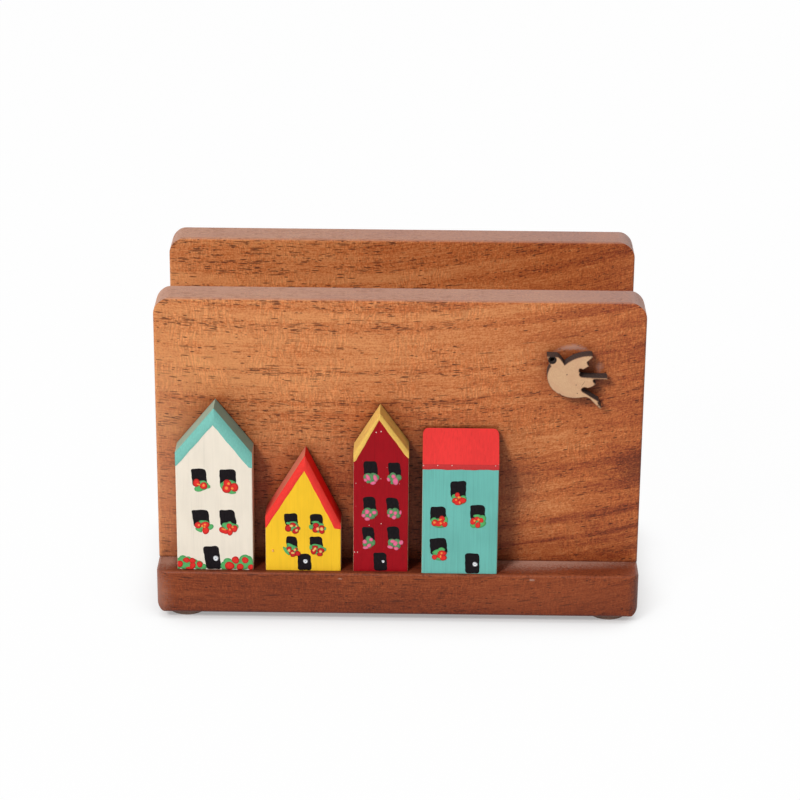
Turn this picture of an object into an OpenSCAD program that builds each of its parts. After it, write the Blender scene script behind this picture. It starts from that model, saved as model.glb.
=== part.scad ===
// Tabletop napkin holder: two upright boards on a thick base board, with a street of four painted
// wooden houses on the ledge in front and a small fibreboard bird above them.
// Millimetres. X runs left to right, the houses face -Y, and the feet stand on Z = 0.

/* [Base board] */
// Length of the board, and of the panels, from left to right
base_w = 160; // [150:1:220]
// Thickness of the board
base_t = 15; // [12:0.5:24]
// Rounding of the board's upright corners
base_corner_r = 3.5; // [1:0.5:5]
// Rounding of the board's lower edge at its two ends
base_end_r = 3.5; // [1:0.5:6]
// Easing of the long sawn edges
edge_r = 1; // [0.5:0.1:1.5]

/* [Panels] */
// Thickness of the two upright panels
panel_t = 12.5; // [9:0.5:20]
// Height of the panels above the board
panel_h = 92; // [86:1:140]
// Rounding of the panels' top corners
panel_corner_r = 6; // [2:0.5:20]
// Width of the slot between the two panels
slot_d = 48.5; // [25:0.5:90]

/* [Street of houses] */
// Depth of the gabled blocks, from their back to their painted front
house_t = 8.5; // [6:0.5:16]
// How much deeper the block with the sloping roof is
teal_extra_t = 1; // [0:0.5:4]
// Distance of the blocks' backs from the front panel
house_stand_off = 1; // [0:0.1:3]
// Strip of ledge left free in front of the deepest block
ledge_lip = 1; // [1:0.5:10]
// Distance from the board's left end to the first block
street_margin = 7; // [4:0.5:20]
// Distance between neighbouring blocks
house_gap = 4.1; // [1:0.1:6]
// Distance between the crimson block and the one with the sloping roof
teal_gap = 4.5; // [1:0.1:6]
// Easing of the blocks' upright edges
block_edge_r = 0.4; // [0.2:0.1:1]

/* [Cream house] */
// Width of the block
cream_w = 25.2; // [18:0.1:28]
// Height of the left wall
cream_wall_l = 41.9; // [30:0.1:50]
// Height of the right wall
cream_wall_r = 41.9; // [30:0.1:50]
// Height of the ridge
cream_ridge_h = 57.6; // [52:0.1:66]
// Distance of the ridge from the left wall
cream_ridge_x = 12.9; // [9:0.1:16]

/* [Yellow house] */
// Width of the block
yellow_w = 24.9; // [18:0.1:28]
// Height of the left wall
yellow_wall_l = 19.4; // [14:0.1:30]
// Height of the right wall
yellow_wall_r = 16.9; // [14:0.1:30]
// Height of the ridge
yellow_ridge_h = 41.3; // [34:0.1:50]
// Distance of the ridge from the left wall
yellow_ridge_x = 13.1; // [9:0.1:16]

/* [Crimson house] */
// Width of the block
crimson_w = 18.1; // [14:0.1:22]
// Height of the left wall
crimson_wall_l = 42.4; // [30:0.1:50]
// Height of the right wall
crimson_wall_r = 43.2; // [30:0.1:50]
// Height of the ridge
crimson_ridge_h = 56.4; // [52:0.1:66]
// Distance of the ridge from the left wall
crimson_ridge_x = 8.6; // [6:0.1:12]

/* [Teal house] */
// Width of the block
teal_w = 25; // [18:0.1:28]
// Height of the front wall, where the roof starts to slope back
teal_wall_h = 39.2; // [28:0.1:42]
// Height of the block at its back
teal_top_h = 48.1; // [44:0.1:50]
// Rounding of the roof's top corners
teal_corner_r = 1.8; // [0.5:0.1:4]

/* [Bird] */
// Thickness of the fibreboard
bird_t = 4.5; // [2:0.5:6]
// Size of the bird, from beak to wing tips
bird_w = 20; // [15:0.5:24]
// Distance of the bird's body from the panel's right end
bird_from_right = 25; // [20:0.5:40]
// Distance of the bird's body below the panel's top
bird_from_top = 25; // [20:0.5:27]
// Diameter of the eye's hole, on a bird of 20 mm
bird_eye_d = 1.6; // [1:0.1:2]

/* [Feet] */
// Diameter of the round pads under the board
foot_d = 13; // [8:0.5:18]
// Thickness of the pads
foot_h = 2.5; // [1.5:0.5:6]
// Distance from the board's edges to the rim of a pad
foot_inset = 3; // [1:0.5:12]
// Rounding of the pads' lower rim
foot_rim_r = 0.6; // [0.2:0.1:1]

/* [Screws] */
// Length of the wood screws that hold the panels
screw_l = 35; // [30:1:50]
// Diameter of the screws' shank
screw_d = 3.5; // [3:0.1:4.5]
// Diameter of the countersunk heads
screw_head_d = 7; // [6:0.1:9]
// Depth of the heads below the board's underside
screw_sink = 0.5; // [0.2:0.1:1.5]
// Distance from the ends of the board to the screws
screw_from_end = 32; // [25:1:60]
// Free space around a screw in its holes
screw_clearance = 0.15; // [0.1:0.05:0.3]

/* [Hidden] */
$fn = 64;

// How far a cutting shape reaches past the face that it cuts
cut = 1;

// Depths, worked out from front to back
teal_t = house_t + teal_extra_t;
ledge_d = house_stand_off + teal_t + ledge_lip;
base_d = ledge_d + panel_t + slot_d + panel_t;
base_front_y = -base_d / 2;
front_panel_y = base_front_y + ledge_d;
house_back_y = front_panel_y - house_stand_off;
back_panel_y = base_d / 2 - panel_t;

// Heights
base_z = foot_h;
ledge_z = base_z + base_t;

// Left walls of the blocks, each placed from the one before it
cream_x = -base_w / 2 + street_margin;
yellow_x = cream_x + cream_w + house_gap;
crimson_x = yellow_x + yellow_w + house_gap;
teal_x = crimson_x + crimson_w + teal_gap;

// Screws: two in each panel, on the panel's middle plane
screw_x = base_w / 2 - screw_from_end;
screw_z = base_z + screw_sink;
screw_head_h = (screw_head_d - screw_d) / 2;
screw_tip_h = screw_d;

// Feet: one at each corner
foot_x = base_w / 2 - foot_inset - foot_d / 2;
foot_y = base_d / 2 - foot_inset - foot_d / 2;

// The bird's outline is drawn 20 units wide, and its body lies at the origin
bird_drawn_w = 20;
bird_scale = bird_w / bird_drawn_w;
curve_steps = 6;

// Colours
wood = "#A35B33";
base_wood = "#8B4528";
cream_paint = "#EFE8DA";
yellow_paint = "#F8C930";
crimson_paint = "#A3101F";
teal_paint = "#6FC4B3";
fibreboard = "#D9AD82";
pad_brown = "#5A4038";
steel = "#B4B6BA";

// What rounding takes off one corner of a flat shape; inward points from the corner into the shape
module corner_waste(corner, r, inward) {
    translate(corner)
        mirror([inward.x < 0 ? 1 : 0, 0])
            mirror([0, inward.y < 0 ? 1 : 0])
                difference() {
                    translate([-cut, -cut]) square(r + cut);
                    translate([r, r]) circle(r);
                }
}

// Upright plate on y = 0, centred on x, with its own rounding for the lower and the upper corners
module rounded_plate(w, h, low_r, high_r) {
    difference() {
        translate([-w / 2, 0]) square([w, h]);
        for (side = [-1, 1]) {
            if (low_r > 0) corner_waste([side * w / 2, 0], low_r, [-side, 1]);
            if (high_r > 0) corner_waste([side * w / 2, h], high_r, [-side, -1]);
        }
    }
}

// Stands a flat shape up so that its y axis points along Z, and extrudes it from Y = 0 back to d
module upright(d) {
    translate([0, d, 0]) rotate([90, 0, 0]) linear_extrude(d) children();
}

// Board with its front face on Y = 0: the part that three outlines have in common, seen from above,
// from the front and from the end. plan_r, low_r and high_r round the corners of those outlines
module board(w, d, h, plan_r, end_low_r, end_high_r, edge_low_r, edge_high_r) {
    intersection() {
        linear_extrude(h) rounded_plate(w, d, plan_r, plan_r);
        upright(d) rounded_plate(w, h, end_low_r, end_high_r);
        translate([-w / 2, d / 2, 0]) rotate([90, 0, 90]) linear_extrude(w)
            rounded_plate(d, h, edge_low_r, edge_high_r);
    }
}

// One wood screw with its head down, from the head's face up along Z
module wood_screw(grow) {
    shank_r = screw_d / 2 + grow;
    cylinder(r1 = screw_head_d / 2 + grow, r2 = shank_r, h = screw_head_h);
    cylinder(r = shank_r, h = screw_l - screw_tip_h);
    translate([0, 0, screw_l - screw_tip_h]) cylinder(r1 = shank_r, r2 = 0, h = screw_tip_h + grow);
}

// Places its children at the four screws
module at_screws() {
    for (panel_y = [front_panel_y, back_panel_y], side = [-1, 1])
        translate([side * screw_x, panel_y + panel_t / 2, screw_z]) children();
}

// Holes for the screws: clearance all round, and open through the board's underside
module screw_holes() {
    at_screws() {
        wood_screw(screw_clearance);
        translate([0, 0, -screw_sink - cut])
            cylinder(r = screw_head_d / 2 + screw_clearance, h = screw_sink + cut);
    }
}

module base_board() {
    color(base_wood) difference() {
        translate([0, base_front_y, base_z])
            board(base_w, base_d, base_t, base_corner_r, base_end_r, edge_r, edge_r, edge_r);
        screw_holes();
    }
}

// Upright panel with its front face at y
module panel(y) {
    color(wood) difference() {
        translate([0, y, ledge_z])
            board(base_w, panel_t, panel_h, edge_r, 0, panel_corner_r, 0, edge_r);
        screw_holes();
    }
}

module front_panel() {
    panel(front_panel_y);
}

module back_panel() {
    panel(back_panel_y);
}

// Block in front of the front panel, with its left wall at x: the outline of its front,
// cut from a stick whose upright edges are eased
module block(x, w, t, h) {
    translate([x, house_back_y - t, ledge_z])
        intersection() {
            upright(t) children();
            translate([w / 2, 0, 0]) linear_extrude(h) rounded_plate(w, t, block_edge_r, 0);
        }
}

// Gabled block: two walls and a ridge
module gabled_house(x, w, wall_l, wall_r, ridge_h, ridge_x) {
    block(x, w, house_t, ridge_h)
        polygon([[0, 0], [w, 0], [w, wall_r], [ridge_x, ridge_h], [0, wall_l]]);
}

module cream_house() {
    color(cream_paint)
        gabled_house(cream_x, cream_w, cream_wall_l, cream_wall_r, cream_ridge_h, cream_ridge_x);
}

module yellow_house() {
    color(yellow_paint)
        gabled_house(yellow_x, yellow_w, yellow_wall_l, yellow_wall_r, yellow_ridge_h, yellow_ridge_x);
}

module crimson_house() {
    color(crimson_paint)
        gabled_house(crimson_x, crimson_w, crimson_wall_l, crimson_wall_r, crimson_ridge_h,
                     crimson_ridge_x);
}

// Block whose roof slopes back from the front wall to the top of its back face
module teal_house() {
    color(teal_paint) intersection() {
        block(teal_x, teal_w, teal_t, teal_top_h)
            translate([teal_w / 2, 0]) rounded_plate(teal_w, teal_top_h, 0, teal_corner_r);
        translate([teal_x, house_back_y, ledge_z]) rotate([90, 0, 90]) linear_extrude(teal_w)
            polygon([[0, 0], [0, teal_top_h], [-teal_t, teal_wall_h], [-teal_t, 0]]);
    }
}

// Points of a curve from p to q that is pulled towards the point c; p itself is left out
function bend(p, c, q) =
    [for (i = [1 : curve_steps]) let (s = i / curve_steps)
        (1 - s) * (1 - s) * p + 2 * s * (1 - s) * c + s * s * q];

// Corner points of the bird, clockwise from the beak
beak = [-7.25, 7.9];
crown = [-3.9, 7.8];
nape = [-1.5, 5.0];
wing_top = [6.4, 8.3];
wing_tip = [7.45, 7.7];
upper_notch = [5.75, 6.1];
second_feather = [6.45, 4.65];
slit_mouth = [4.5, 3.5];
slit_top = [3.2, 3.1];
slit_neck = [3.6, 2.5];
slit_bottom = [4.1, 0.9];
long_top = [12.0, 0.65];
long_tip = [12.45, 0.2];
lower_notch = [8.75, 0.2];
notch_bottom = [7.9, -0.5];
third_feather = [8.8, -1.5];
third_root = [6.1, -2.95];
tail_slit = [4.9, -2.7];
tail_top = [4.6, -4.2];
tail_fork = [10.0, -7.6];
fork_notch = [9.6, -8.0];
tail_tip = [10.9, -9.8];
tail_heel = [10.5, -10.1];
rump = [7.0, -6.6];
hip = [4.6, -6.2];
belly = [-0.6, -6.15];
breast = [-7.1, 0.6];
throat = [-5.9, 4.6];

bird_outline = concat(
    [crown],
    bend(crown, [-2.9, 7.5], nape),
    bend(nape, [1.8, 8.1], wing_top),
    bend(wing_top, [7.9, 8.35], wing_tip),
    [upper_notch],
    bend(upper_notch, [5.8, 5.3], second_feather),
    bend(second_feather, [5.4, 4.1], slit_mouth),
    bend(slit_mouth, [3.2, 4.3], slit_top),
    bend(slit_top, [3.2, 2.6], slit_neck),
    bend(slit_neck, [2.9, 1.5], slit_bottom),
    bend(slit_bottom, [8.0, 0.6], long_top),
    bend(long_top, [12.75, 0.65], long_tip),
    [lower_notch],
    bend(lower_notch, [7.7, 0.2], notch_bottom),
    bend(notch_bottom, [8.0, -1.0], third_feather),
    bend(third_feather, [7.6, -2.7], third_root),
    bend(third_root, [5.5, -2.6], tail_slit),
    bend(tail_slit, [3.6, -3.3], tail_top),
    [tail_fork, fork_notch],
    bend(fork_notch, [10.0, -8.7], tail_tip),
    [tail_heel],
    bend(tail_heel, [8.9, -8.7], rump),
    bend(rump, [5.9, -5.9], hip),
    bend(hip, [2.0, -6.8], belly),
    bend(belly, [-6.4, -4.5], breast),
    bend(breast, [-7.2, 2.6], throat),
    bend(throat, [-6.8, 5.4], beak)
);
bird_eye = [-5.55, 6.75];

module bird() {
    color(fibreboard)
        translate([base_w / 2 - bird_from_right, front_panel_y - bird_t, ledge_z + panel_h - bird_from_top])
            upright(bird_t) scale(bird_scale) difference() {
                polygon(bird_outline);
                translate(bird_eye) circle(d = bird_eye_d);
            }
}

// Round pad with a softened lower rim
module foot(side_x, side_y) {
    color(pad_brown) translate([side_x * foot_x, side_y * foot_y, 0])
        rotate_extrude() difference() {
            square([foot_d / 2, foot_h]);
            corner_waste([foot_d / 2, 0], foot_rim_r, [-1, 1]);
        }
}

module foot_front_left() {
    foot(-1, -1);
}

module foot_front_right() {
    foot(1, -1);
}

module foot_back_left() {
    foot(-1, 1);
}

module foot_back_right() {
    foot(1, 1);
}

module panel_screws() {
    color(steel) at_screws() wood_screw(0);
}

base_board();
front_panel();
back_panel();
cream_house();
yellow_house();
crimson_house();
teal_house();
bird();
foot_front_left();
foot_front_right();
foot_back_left();
foot_back_right();
panel_screws();
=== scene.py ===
# %% [markdown]
# # A napkin holder with a street of painted houses
#
# The object is a small wooden napkin holder: two upright boards on a thicker one, four painted
# blocks that stand on the ledge like a street, and a laser-cut bird glued above them. The solids
# come from the CAD model, which fixes every size and place. This lesson gives them their looks:
# wood, brushed paint, burnt fibreboard, rubber and steel. All lengths below are in millimetres, and
# MM turns them to metres.

# %% Load the frame
import math
import random

import bmesh
import bpy
from mathutils import Matrix, Vector, geometry


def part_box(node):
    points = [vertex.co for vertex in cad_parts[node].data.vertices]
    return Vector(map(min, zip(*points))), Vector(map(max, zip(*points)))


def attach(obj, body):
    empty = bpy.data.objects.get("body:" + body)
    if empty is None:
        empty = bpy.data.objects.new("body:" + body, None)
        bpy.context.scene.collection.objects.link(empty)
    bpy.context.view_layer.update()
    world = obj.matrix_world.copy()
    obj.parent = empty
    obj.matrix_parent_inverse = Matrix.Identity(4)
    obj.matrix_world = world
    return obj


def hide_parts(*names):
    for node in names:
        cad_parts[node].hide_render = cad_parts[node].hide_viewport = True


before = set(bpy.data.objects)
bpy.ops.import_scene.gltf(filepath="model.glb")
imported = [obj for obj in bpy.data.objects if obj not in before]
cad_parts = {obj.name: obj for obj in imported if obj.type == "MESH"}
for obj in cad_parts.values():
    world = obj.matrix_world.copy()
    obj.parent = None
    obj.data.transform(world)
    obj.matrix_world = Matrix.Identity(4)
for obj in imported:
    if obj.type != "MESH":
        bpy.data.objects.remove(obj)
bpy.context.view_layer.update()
MM = 0.001
print("CAD nodes:", ", ".join(sorted(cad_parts)))

# %% [markdown]
# ## Measures taken from the frame
#
# The pieces that are added later sit on CAD pieces, so their planes are read from the CAD boxes
# and not typed again. Heights on the houses are measured from the ledge they stand on, and X is
# counted from the middle of the board.

# %% Planes that the pieces sit on
def edges(node):
    low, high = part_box(node)
    return [value / MM for value in low], [value / MM for value in high]


LEDGE_Z = edges("front_panel")[0][2]
PANEL_FRONT = edges("front_panel")[0][1]
BOARD_FRONT = edges("base_board")[0][1]
BOARD_END = edges("base_board")[1][0]
print(f"ledge at {LEDGE_Z:.1f} mm, front panel from y = {PANEL_FRONT:.1f} mm")
print(f"board to y = {BOARD_FRONT:.1f} mm and {BOARD_END:.1f} mm to each side")

# %% [markdown]
# ## Colours and nodes
#
# Paint and wood colours are easiest to name as the sRGB hex values a designer writes down, while
# the renderer computes in linear light. One function turns the first into the second. Another adds a
# node: it takes the node's kind, its settings and what goes into its inputs, where a hex string is
# a colour, another node's output becomes a link and anything else is a plain value. With these two,
# every material below reads like a recipe. The settings that come back again and again have a name.

# %% Two helpers for every material
def linear(hex_colour):
    parts = [int(hex_colour[i:i + 2], 16) / 255 for i in (1, 3, 5)]
    return [p / 12.92 if p <= 0.04045 else ((p + 0.055) / 1.055) ** 2.4 for p in parts] + [1.0]


def add(tree, kind, settings=None, inputs=None):
    node = tree.nodes.new("ShaderNode" + kind)
    for name, value in (settings or {}).items():
        setattr(node, name, value)
    for name, value in (inputs or {}).items():
        if isinstance(value, bpy.types.NodeSocket):
            tree.links.new(value, node.inputs[name])
        elif isinstance(value, str):
            node.inputs[name].default_value = linear(value)
        else:
            node.inputs[name].default_value = value
    return node.outputs


PLUS, MINUS, TIMES, OVER, TIMES_PLUS, LARGER, SMALLER, BELOW = (
    {"operation": name} for name in
    ("ADD", "SUBTRACT", "MULTIPLY", "DIVIDE", "MULTIPLY_ADD", "MAXIMUM", "MINIMUM", "LESS_THAN"))
SOFT_STEP = {"interpolation_type": "SMOOTHSTEP"}  # from value 1 to value 2, out come 3 to 4
BLEND = {"data_type": "RGBA"}                     # share 0 of colour 7 over colour 6
print("mid grey #808080 is", round(linear("#808080")[0], 3), "in linear light")


# %% A new material, and places on the object in millimetres
def new_material(name):
    material = bpy.data.materials.new(name)
    material.use_nodes = True
    material.node_tree.nodes.clear()
    return material, material.node_tree


def in_mm(tree, shift=(0, 0, 0)):
    here = add(tree, "TexCoord")["Object"]
    return add(tree, "VectorMath", TIMES_PLUS, {0: here, 1: (1 / MM,) * 3, 2: shift})[0]


# %% [markdown]
# ## The camera
#
# The picture was taken with a long lens from the front and a little above. A long lens far away
# keeps the boards' upright edges nearly parallel, while a short one near by would spread them. The
# place and angles below come from fitting a camera to the holder's straight edges.

# %% Camera
LENS, SENSOR = 126.53, 36.0
CAMERA_AT = (7.4, -885.2, 416.2)
LOOK_DOWN, LOOK_LEFT, TILT = 21.777, 0.479, 0.476

camera = bpy.data.objects.new("camera", bpy.data.cameras.new("camera"))
camera.data.lens, camera.data.sensor_width = LENS, SENSOR
camera.matrix_world = (Matrix.Translation(Vector(CAMERA_AT) * MM)
                       @ Matrix.Rotation(math.radians(LOOK_LEFT), 4, "Z")
                       @ Matrix.Rotation(math.radians(90 - LOOK_DOWN), 4, "X")
                       @ Matrix.Rotation(math.radians(TILT), 4, "Z"))
bpy.context.scene.collection.objects.link(camera)
bpy.context.scene.camera = camera
print(f"camera {Vector(CAMERA_AT).length:.0f} mm away, {LOOK_DOWN} degrees above the table")

# %% [markdown]
# ## The studio
#
# Product pictures like this one use a softbox to the front left, weak light from everywhere else
# and a white sweep under the object. The lamp is small enough to leave soft-edged shadows beside
# the houses. The world is dim for the light it gives, but the camera and glossy surfaces see it
# white, so that nothing has to be overlit for a white background.

# %% Softbox, back light and surroundings
SURROUNDINGS = 0.23
LAMPS_AIM_Z = 50  # mm, a little above the middle of the object


def lamp(name, towards, distance, size, watts):
    """A round softbox, towards the object from a direction"""
    data = bpy.data.lights.new(name, "AREA")
    data.shape, data.size, data.energy = "DISK", size * MM, watts
    obj = bpy.data.objects.new(name, data)
    away = Vector(towards).normalized()
    obj.location = away * distance * MM + Vector((0, 0, LAMPS_AIM_Z * MM))
    obj.rotation_euler = away.to_track_quat("Z", "Y").to_euler()
    bpy.context.scene.collection.objects.link(obj)


def seen_share(tree):
    """1 for what the camera sees, directly, in gloss or through glass, and 0 for the light itself"""
    rays = add(tree, "LightPath")
    seen = add(tree, "Math", LARGER, {0: rays["Is Camera Ray"], 1: rays["Is Glossy Ray"]})[0]
    return add(tree, "Math", LARGER, {0: seen, 1: rays["Is Transmission Ray"]})[0]


lamp("softbox", (-0.42, -0.67, 0.61), 1500, 400, 15.5)
lamp("back_light", (0.5, 0.8, 0.75), 1500, 900, 3.5)

world = bpy.data.worlds.new("white_studio")
bpy.context.scene.world = world
world.use_nodes = True
sky = world.node_tree
sky.nodes.clear()
strength = add(sky, "MapRange", {}, {0: seen_share(sky), 3: SURROUNDINGS, 4: 1.0})[0]
back = add(sky, "Background", {}, {"Color": "#FFFFFF", "Strength": strength})[0]
add(sky, "OutputWorld", {}, {"Surface": back})
print(f"surroundings at {SURROUNDINGS}, seen as white")

# %% [markdown]
# ## The white sheet
#
# The object stands on white paper, and the picture shows only the soft grey line where it touches.
# The paper is ordinary diffuse white. To the camera it shows mostly its own white instead, by a
# share that falls where the object closes off the sky above a point. That keeps the contact shadow
# and a trace of the cast one, without lamps strong enough to burn out the houses.

# %% White sheet with its contact shadow
SHADOW_REACH = 30  # mm, how far from the object the shadow fades
SHEET_SIZE = 8.0   # m

sheet, tree = new_material("white_paper_sheet")
open_sky = add(tree, "AmbientOcclusion", {"samples": 16}, {"Distance": SHADOW_REACH * MM})["AO"]
share = add(tree, "MapRange", SOFT_STEP, {0: open_sky, 1: 0.24, 2: 0.84, 3: 0.33, 4: 0.98})[0]
share = add(tree, "Math", TIMES, {0: share, 1: seen_share(tree)})[0]
lit = add(tree, "BsdfDiffuse", {}, {"Color": "#F4F4F4"})[0]
white = add(tree, "Emission", {}, {"Color": "#FFFFFF", "Strength": 1.0})[0]
mixed = add(tree, "MixShader", {}, {0: share, 1: lit, 2: white})[0]
add(tree, "OutputMaterial", {}, {"Surface": mixed})

bpy.ops.mesh.primitive_grid_add(x_subdivisions=8, y_subdivisions=8, size=SHEET_SIZE)
floor = bpy.context.object
floor.name = "white_floor"
floor.data.materials.append(sheet)
bpy.context.scene.view_settings.view_transform = "Standard"
print(f"white sheet of {SHEET_SIZE:.0f} m, its shadow fades over {SHADOW_REACH} mm")

# %% [markdown]
# ## Oiled hardwood
#
# The boards are a honey-coloured tropical hardwood under oil and satin lacquer. Three things make
# it recognisable: open pores, drawn along the grain as dark dashes 1 to 7 mm long and packed into
# certain growth rings; dark streaks that rise to the right where the board was cut near a branch;
# and a fine ripple across the grain, about 1.3 mm from crest to crest, that joiners call
# fiddleback. A photographed texture would only fit one face. Here the pattern is a solid one,
# worked out from the place in space, so it runs over edges and end grain as in real timber.
#
# Every layer is one row of a table, with its size along X, Y and Z in millimetres, and the
# materials are made by walking the tables. The growth rings come first: how high above the ledge
# a ring meets the middle of the panel, and how dark or how full of pores it is.

# %% Growth rings of the panels
RING_LOW, RING_HIGH = -20.0, 100.0  # mm above the ledge, the ends of both tables
STREAKS = [  # height, tone
    (-20, .49), (-9, .44), (-5, .54), (1.2, .46), (2.2, .75), (3.4, .44), (7.5, .41), (9.2, .68), (11, .44),
    (14.5, .38), (17.5, .51), (20, .57), (22, .41), (26, .59), (29, .54), (33, .43), (38, .35), (41.5, .51),
    (44, .36), (52, .33), (56, .38), (60, .35), (64, .43), (70, .33), (80, .35), (90, .36), (100, .36),
]
PORE_RINGS = [  # height, how full of pores
    (-20, .3), (-7, .3), (-5, .8), (-2, .3), (2.2, .6), (7, .3), (9.2, .6), (14, .4), (20, .5), (27, .6),
    (33.4, .7), (38, .3), (44, .35), (46.5, .8), (49, .5), (51.5, .9), (53.5, .5), (55.8, 1), (57.4, .15),
    (64.5, .12), (66.3, .95), (67.8, .12), (72.5, .1), (74.4, .35), (76, .08), (79.5, .12), (81.2, 1),
    (83.2, .65), (84.8, .1), (87, .1), (88.6, .9), (91, .7),
]
print(f"{len(STREAKS)} rings of colour, {len(PORE_RINGS)} of pores")

# %% [markdown]
# A growth ring isn't level. It climbs away from the middle of the tree, faster on the side of the
# branch, and wanders a little. So a point's height is counted along the grain, and a colour ramp
# then looks the ring up: heights become places on the ramp, and tones its greys.

# %% Heights along the grain, and the rings' levels
GRAIN_CENTRE_X = -15                         # mm, where the rings lie lowest
RISE_RIGHT, RISE_LEFT = 0.00125, 0.0006      # mm of climb for each mm from there, squared
WANDER_SIZE, WANDER = (38, 30, 16), 2.0      # mm


def height_along_grain(tree, place):
    x, _, z = add(tree, "SeparateXYZ", {}, {0: place})
    off_centre = add(tree, "Math", MINUS, {0: x, 1: GRAIN_CENTRE_X})[0]
    height = add(tree, "Math", MINUS, {0: z, 1: LEDGE_Z + 1})[0]
    for side, rise in ((LARGER, RISE_RIGHT), (SMALLER, RISE_LEFT)):
        half = add(tree, "Math", side, {0: off_centre, 1: 0.0})[0]
        square = add(tree, "Math", TIMES, {0: half, 1: half})[0]
        height = add(tree, "Math", TIMES_PLUS, {0: square, 1: -rise, 2: height})[0]
    scaled = add(tree, "VectorMath", OVER, {0: place, 1: WANDER_SIZE})[0]
    wander = add(tree, "TexNoise", {}, {"Vector": scaled, "Scale": 1.0, "Detail": 1})[0]
    return add(tree, "Math", TIMES_PLUS, {0: wander, 1: WANDER, 2: height})[0]


def set_stops(ramp, stops):
    """Gives a colour ramp its stops, each a place from 0 to 1 and a colour"""
    elements = ramp.node.color_ramp.elements
    for index, (at, colour) in enumerate(stops):
        stop = elements[index] if index < 2 else elements.new(at)
        stop.position, stop.color = at, colour


def ring_levels(tree, height):
    """The tone of the ring at a height, and how full of pores it is"""
    share = add(tree, "MapRange", {}, {0: height, 1: RING_LOW, 2: RING_HIGH})[0]
    levels = []
    for rings in (STREAKS, PORE_RINGS):
        level = add(tree, "ValToRGB", {}, {0: share})[0]
        set_stops(level, [((at - RING_LOW) / (RING_HIGH - RING_LOW), (v, v, v, 1)) for at, v in rings])
        levels.append(level)
    return levels


print(f"the rings climb {RISE_RIGHT * (BOARD_END - GRAIN_CENTRE_X) ** 2:.0f} mm towards the right end")

# %% [markdown]
# Fiddleback is the same grain seen where its fibres wave in and out of the surface, so it lightens
# and darkens the wood in narrow upright ripples. They lean this way and that, and they show only in
# patches. A soft noise that is squeezed along X gives the ripples, and two wider ones the rest.

# %% Fiddleback
RIPPLE_SIZE, RIPPLE_DEPTH = (.43, .9, 2.7), 0.15  # mm; how much lighter or darker
CREST_GAP = 3                                     # a noise has a crest about every three of its sizes
LEAN_SIZE, LEAN = (17, 15, 11), 4.5               # mm


def fiddleback(tree, place, height, patch):
    """How much lighter or darker the ripples make a point, about 1"""
    x, y, _ = add(tree, "SeparateXYZ", {}, {0: place})
    scaled = add(tree, "VectorMath", OVER, {0: place, 1: LEAN_SIZE})[0]
    lean = add(tree, "TexNoise", {}, {"Vector": scaled, "Scale": 1.0, "Detail": 1})[0]
    leaning = add(tree, "Math", TIMES_PLUS, {0: lean, 1: LEAN, 2: x})[0]
    crests = add(tree, "CombineXYZ", {}, {0: leaning, 1: y, 2: height})[0]
    scaled = add(tree, "VectorMath", OVER, {0: crests, 1: RIPPLE_SIZE})[0]
    wave = add(tree, "TexNoise", {}, {"Vector": scaled, "Scale": 1.0, "Detail": 1})[0]
    shown = add(tree, "MapRange", SOFT_STEP, {0: patch, 1: 0.38, 2: 0.58, 3: 0.15, 4: 1.0})[0]
    swing = {0: wave, 1: 0.32, 2: 0.68, 3: -RIPPLE_DEPTH, 4: RIPPLE_DEPTH}
    wave = add(tree, "MapRange", SOFT_STEP, swing)[0]
    return add(tree, "Math", TIMES_PLUS, {0: wave, 1: shown, 2: 1.0})[0]


print(f"ripples {CREST_GAP * RIPPLE_SIZE[0]:.1f} mm from crest to crest")

# %% [markdown]
# A pore is a vessel of the tree, cut open along its length. A noise of stretched cells scatters
# points evenly, one in a cell, and each cell's own random colour decides whether its pore is there
# and how dark it is. Four sizes of cell give long dashes on the left, and short ones where the
# grain climbs and cuts the vessels at a slant.

# %% Open pores
PORES = [  # size along X, Y, Z in mm; radius in that size; share on the left and on the right; seed
    ((7.0, .8, .64), .42, .80, .08, 0.0),
    ((4.2, .7, .58), .42, .90, .18, 7.0),
    ((2.3, .7, .62), .41, .70, .32, 3.0),
    ((1.5, .7, .70), .40, .40, .45, 11.0),
]
LONG_UNTIL, SHORT_FROM = 5, 46  # mm, where along X the long dashes begin to give way, and have
PORE_COLOUR = "#431C10"


def open_pores(tree, grain, crowd, strength):
    """How deep in a pore a point is, from 0 on the wood; crowd is how full of pores it is there"""
    x = add(tree, "SeparateXYZ", {}, {0: grain})[0]
    depth = 0.0
    for size, radius, left, right, seed in PORES:
        moved = add(tree, "VectorMath", PLUS, {0: grain, 1: (seed, seed, seed)})[0]
        cells = add(tree, "VectorMath", OVER, {0: moved, 1: size})[0]
        spots = add(tree, "TexVoronoi", {}, {"Vector": cells, "Scale": 1.0})
        pick = add(tree, "SeparateColor", {}, {0: spots["Color"]})
        share = add(tree, "MapRange", SOFT_STEP, {0: x, 1: LONG_UNTIL, 2: SHORT_FROM, 3: left, 4: right})[0]
        chance = add(tree, "Math", TIMES, {0: crowd, 1: share})[0]
        chosen = add(tree, "Math", BELOW, {0: pick[0], 1: chance})[0]
        fade = {0: spots["Distance"], 1: radius, 2: radius * .55, 3: 0.0, 4: strength}
        dash = add(tree, "MapRange", SOFT_STEP, fade)[0]
        weight = add(tree, "MapRange", {}, {0: pick[1], 3: 0.35, 4: 0.95})[0]
        dash = add(tree, "Math", TIMES, {0: dash, 1: chosen})[0]
        dash = add(tree, "Math", TIMES, {0: dash, 1: weight})[0]
        depth = add(tree, "Math", LARGER, {0: depth, 1: dash})[0]
    return depth


print("pores of", ", ".join(f"{size[0]} mm" for size, *_ in PORES))

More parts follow.
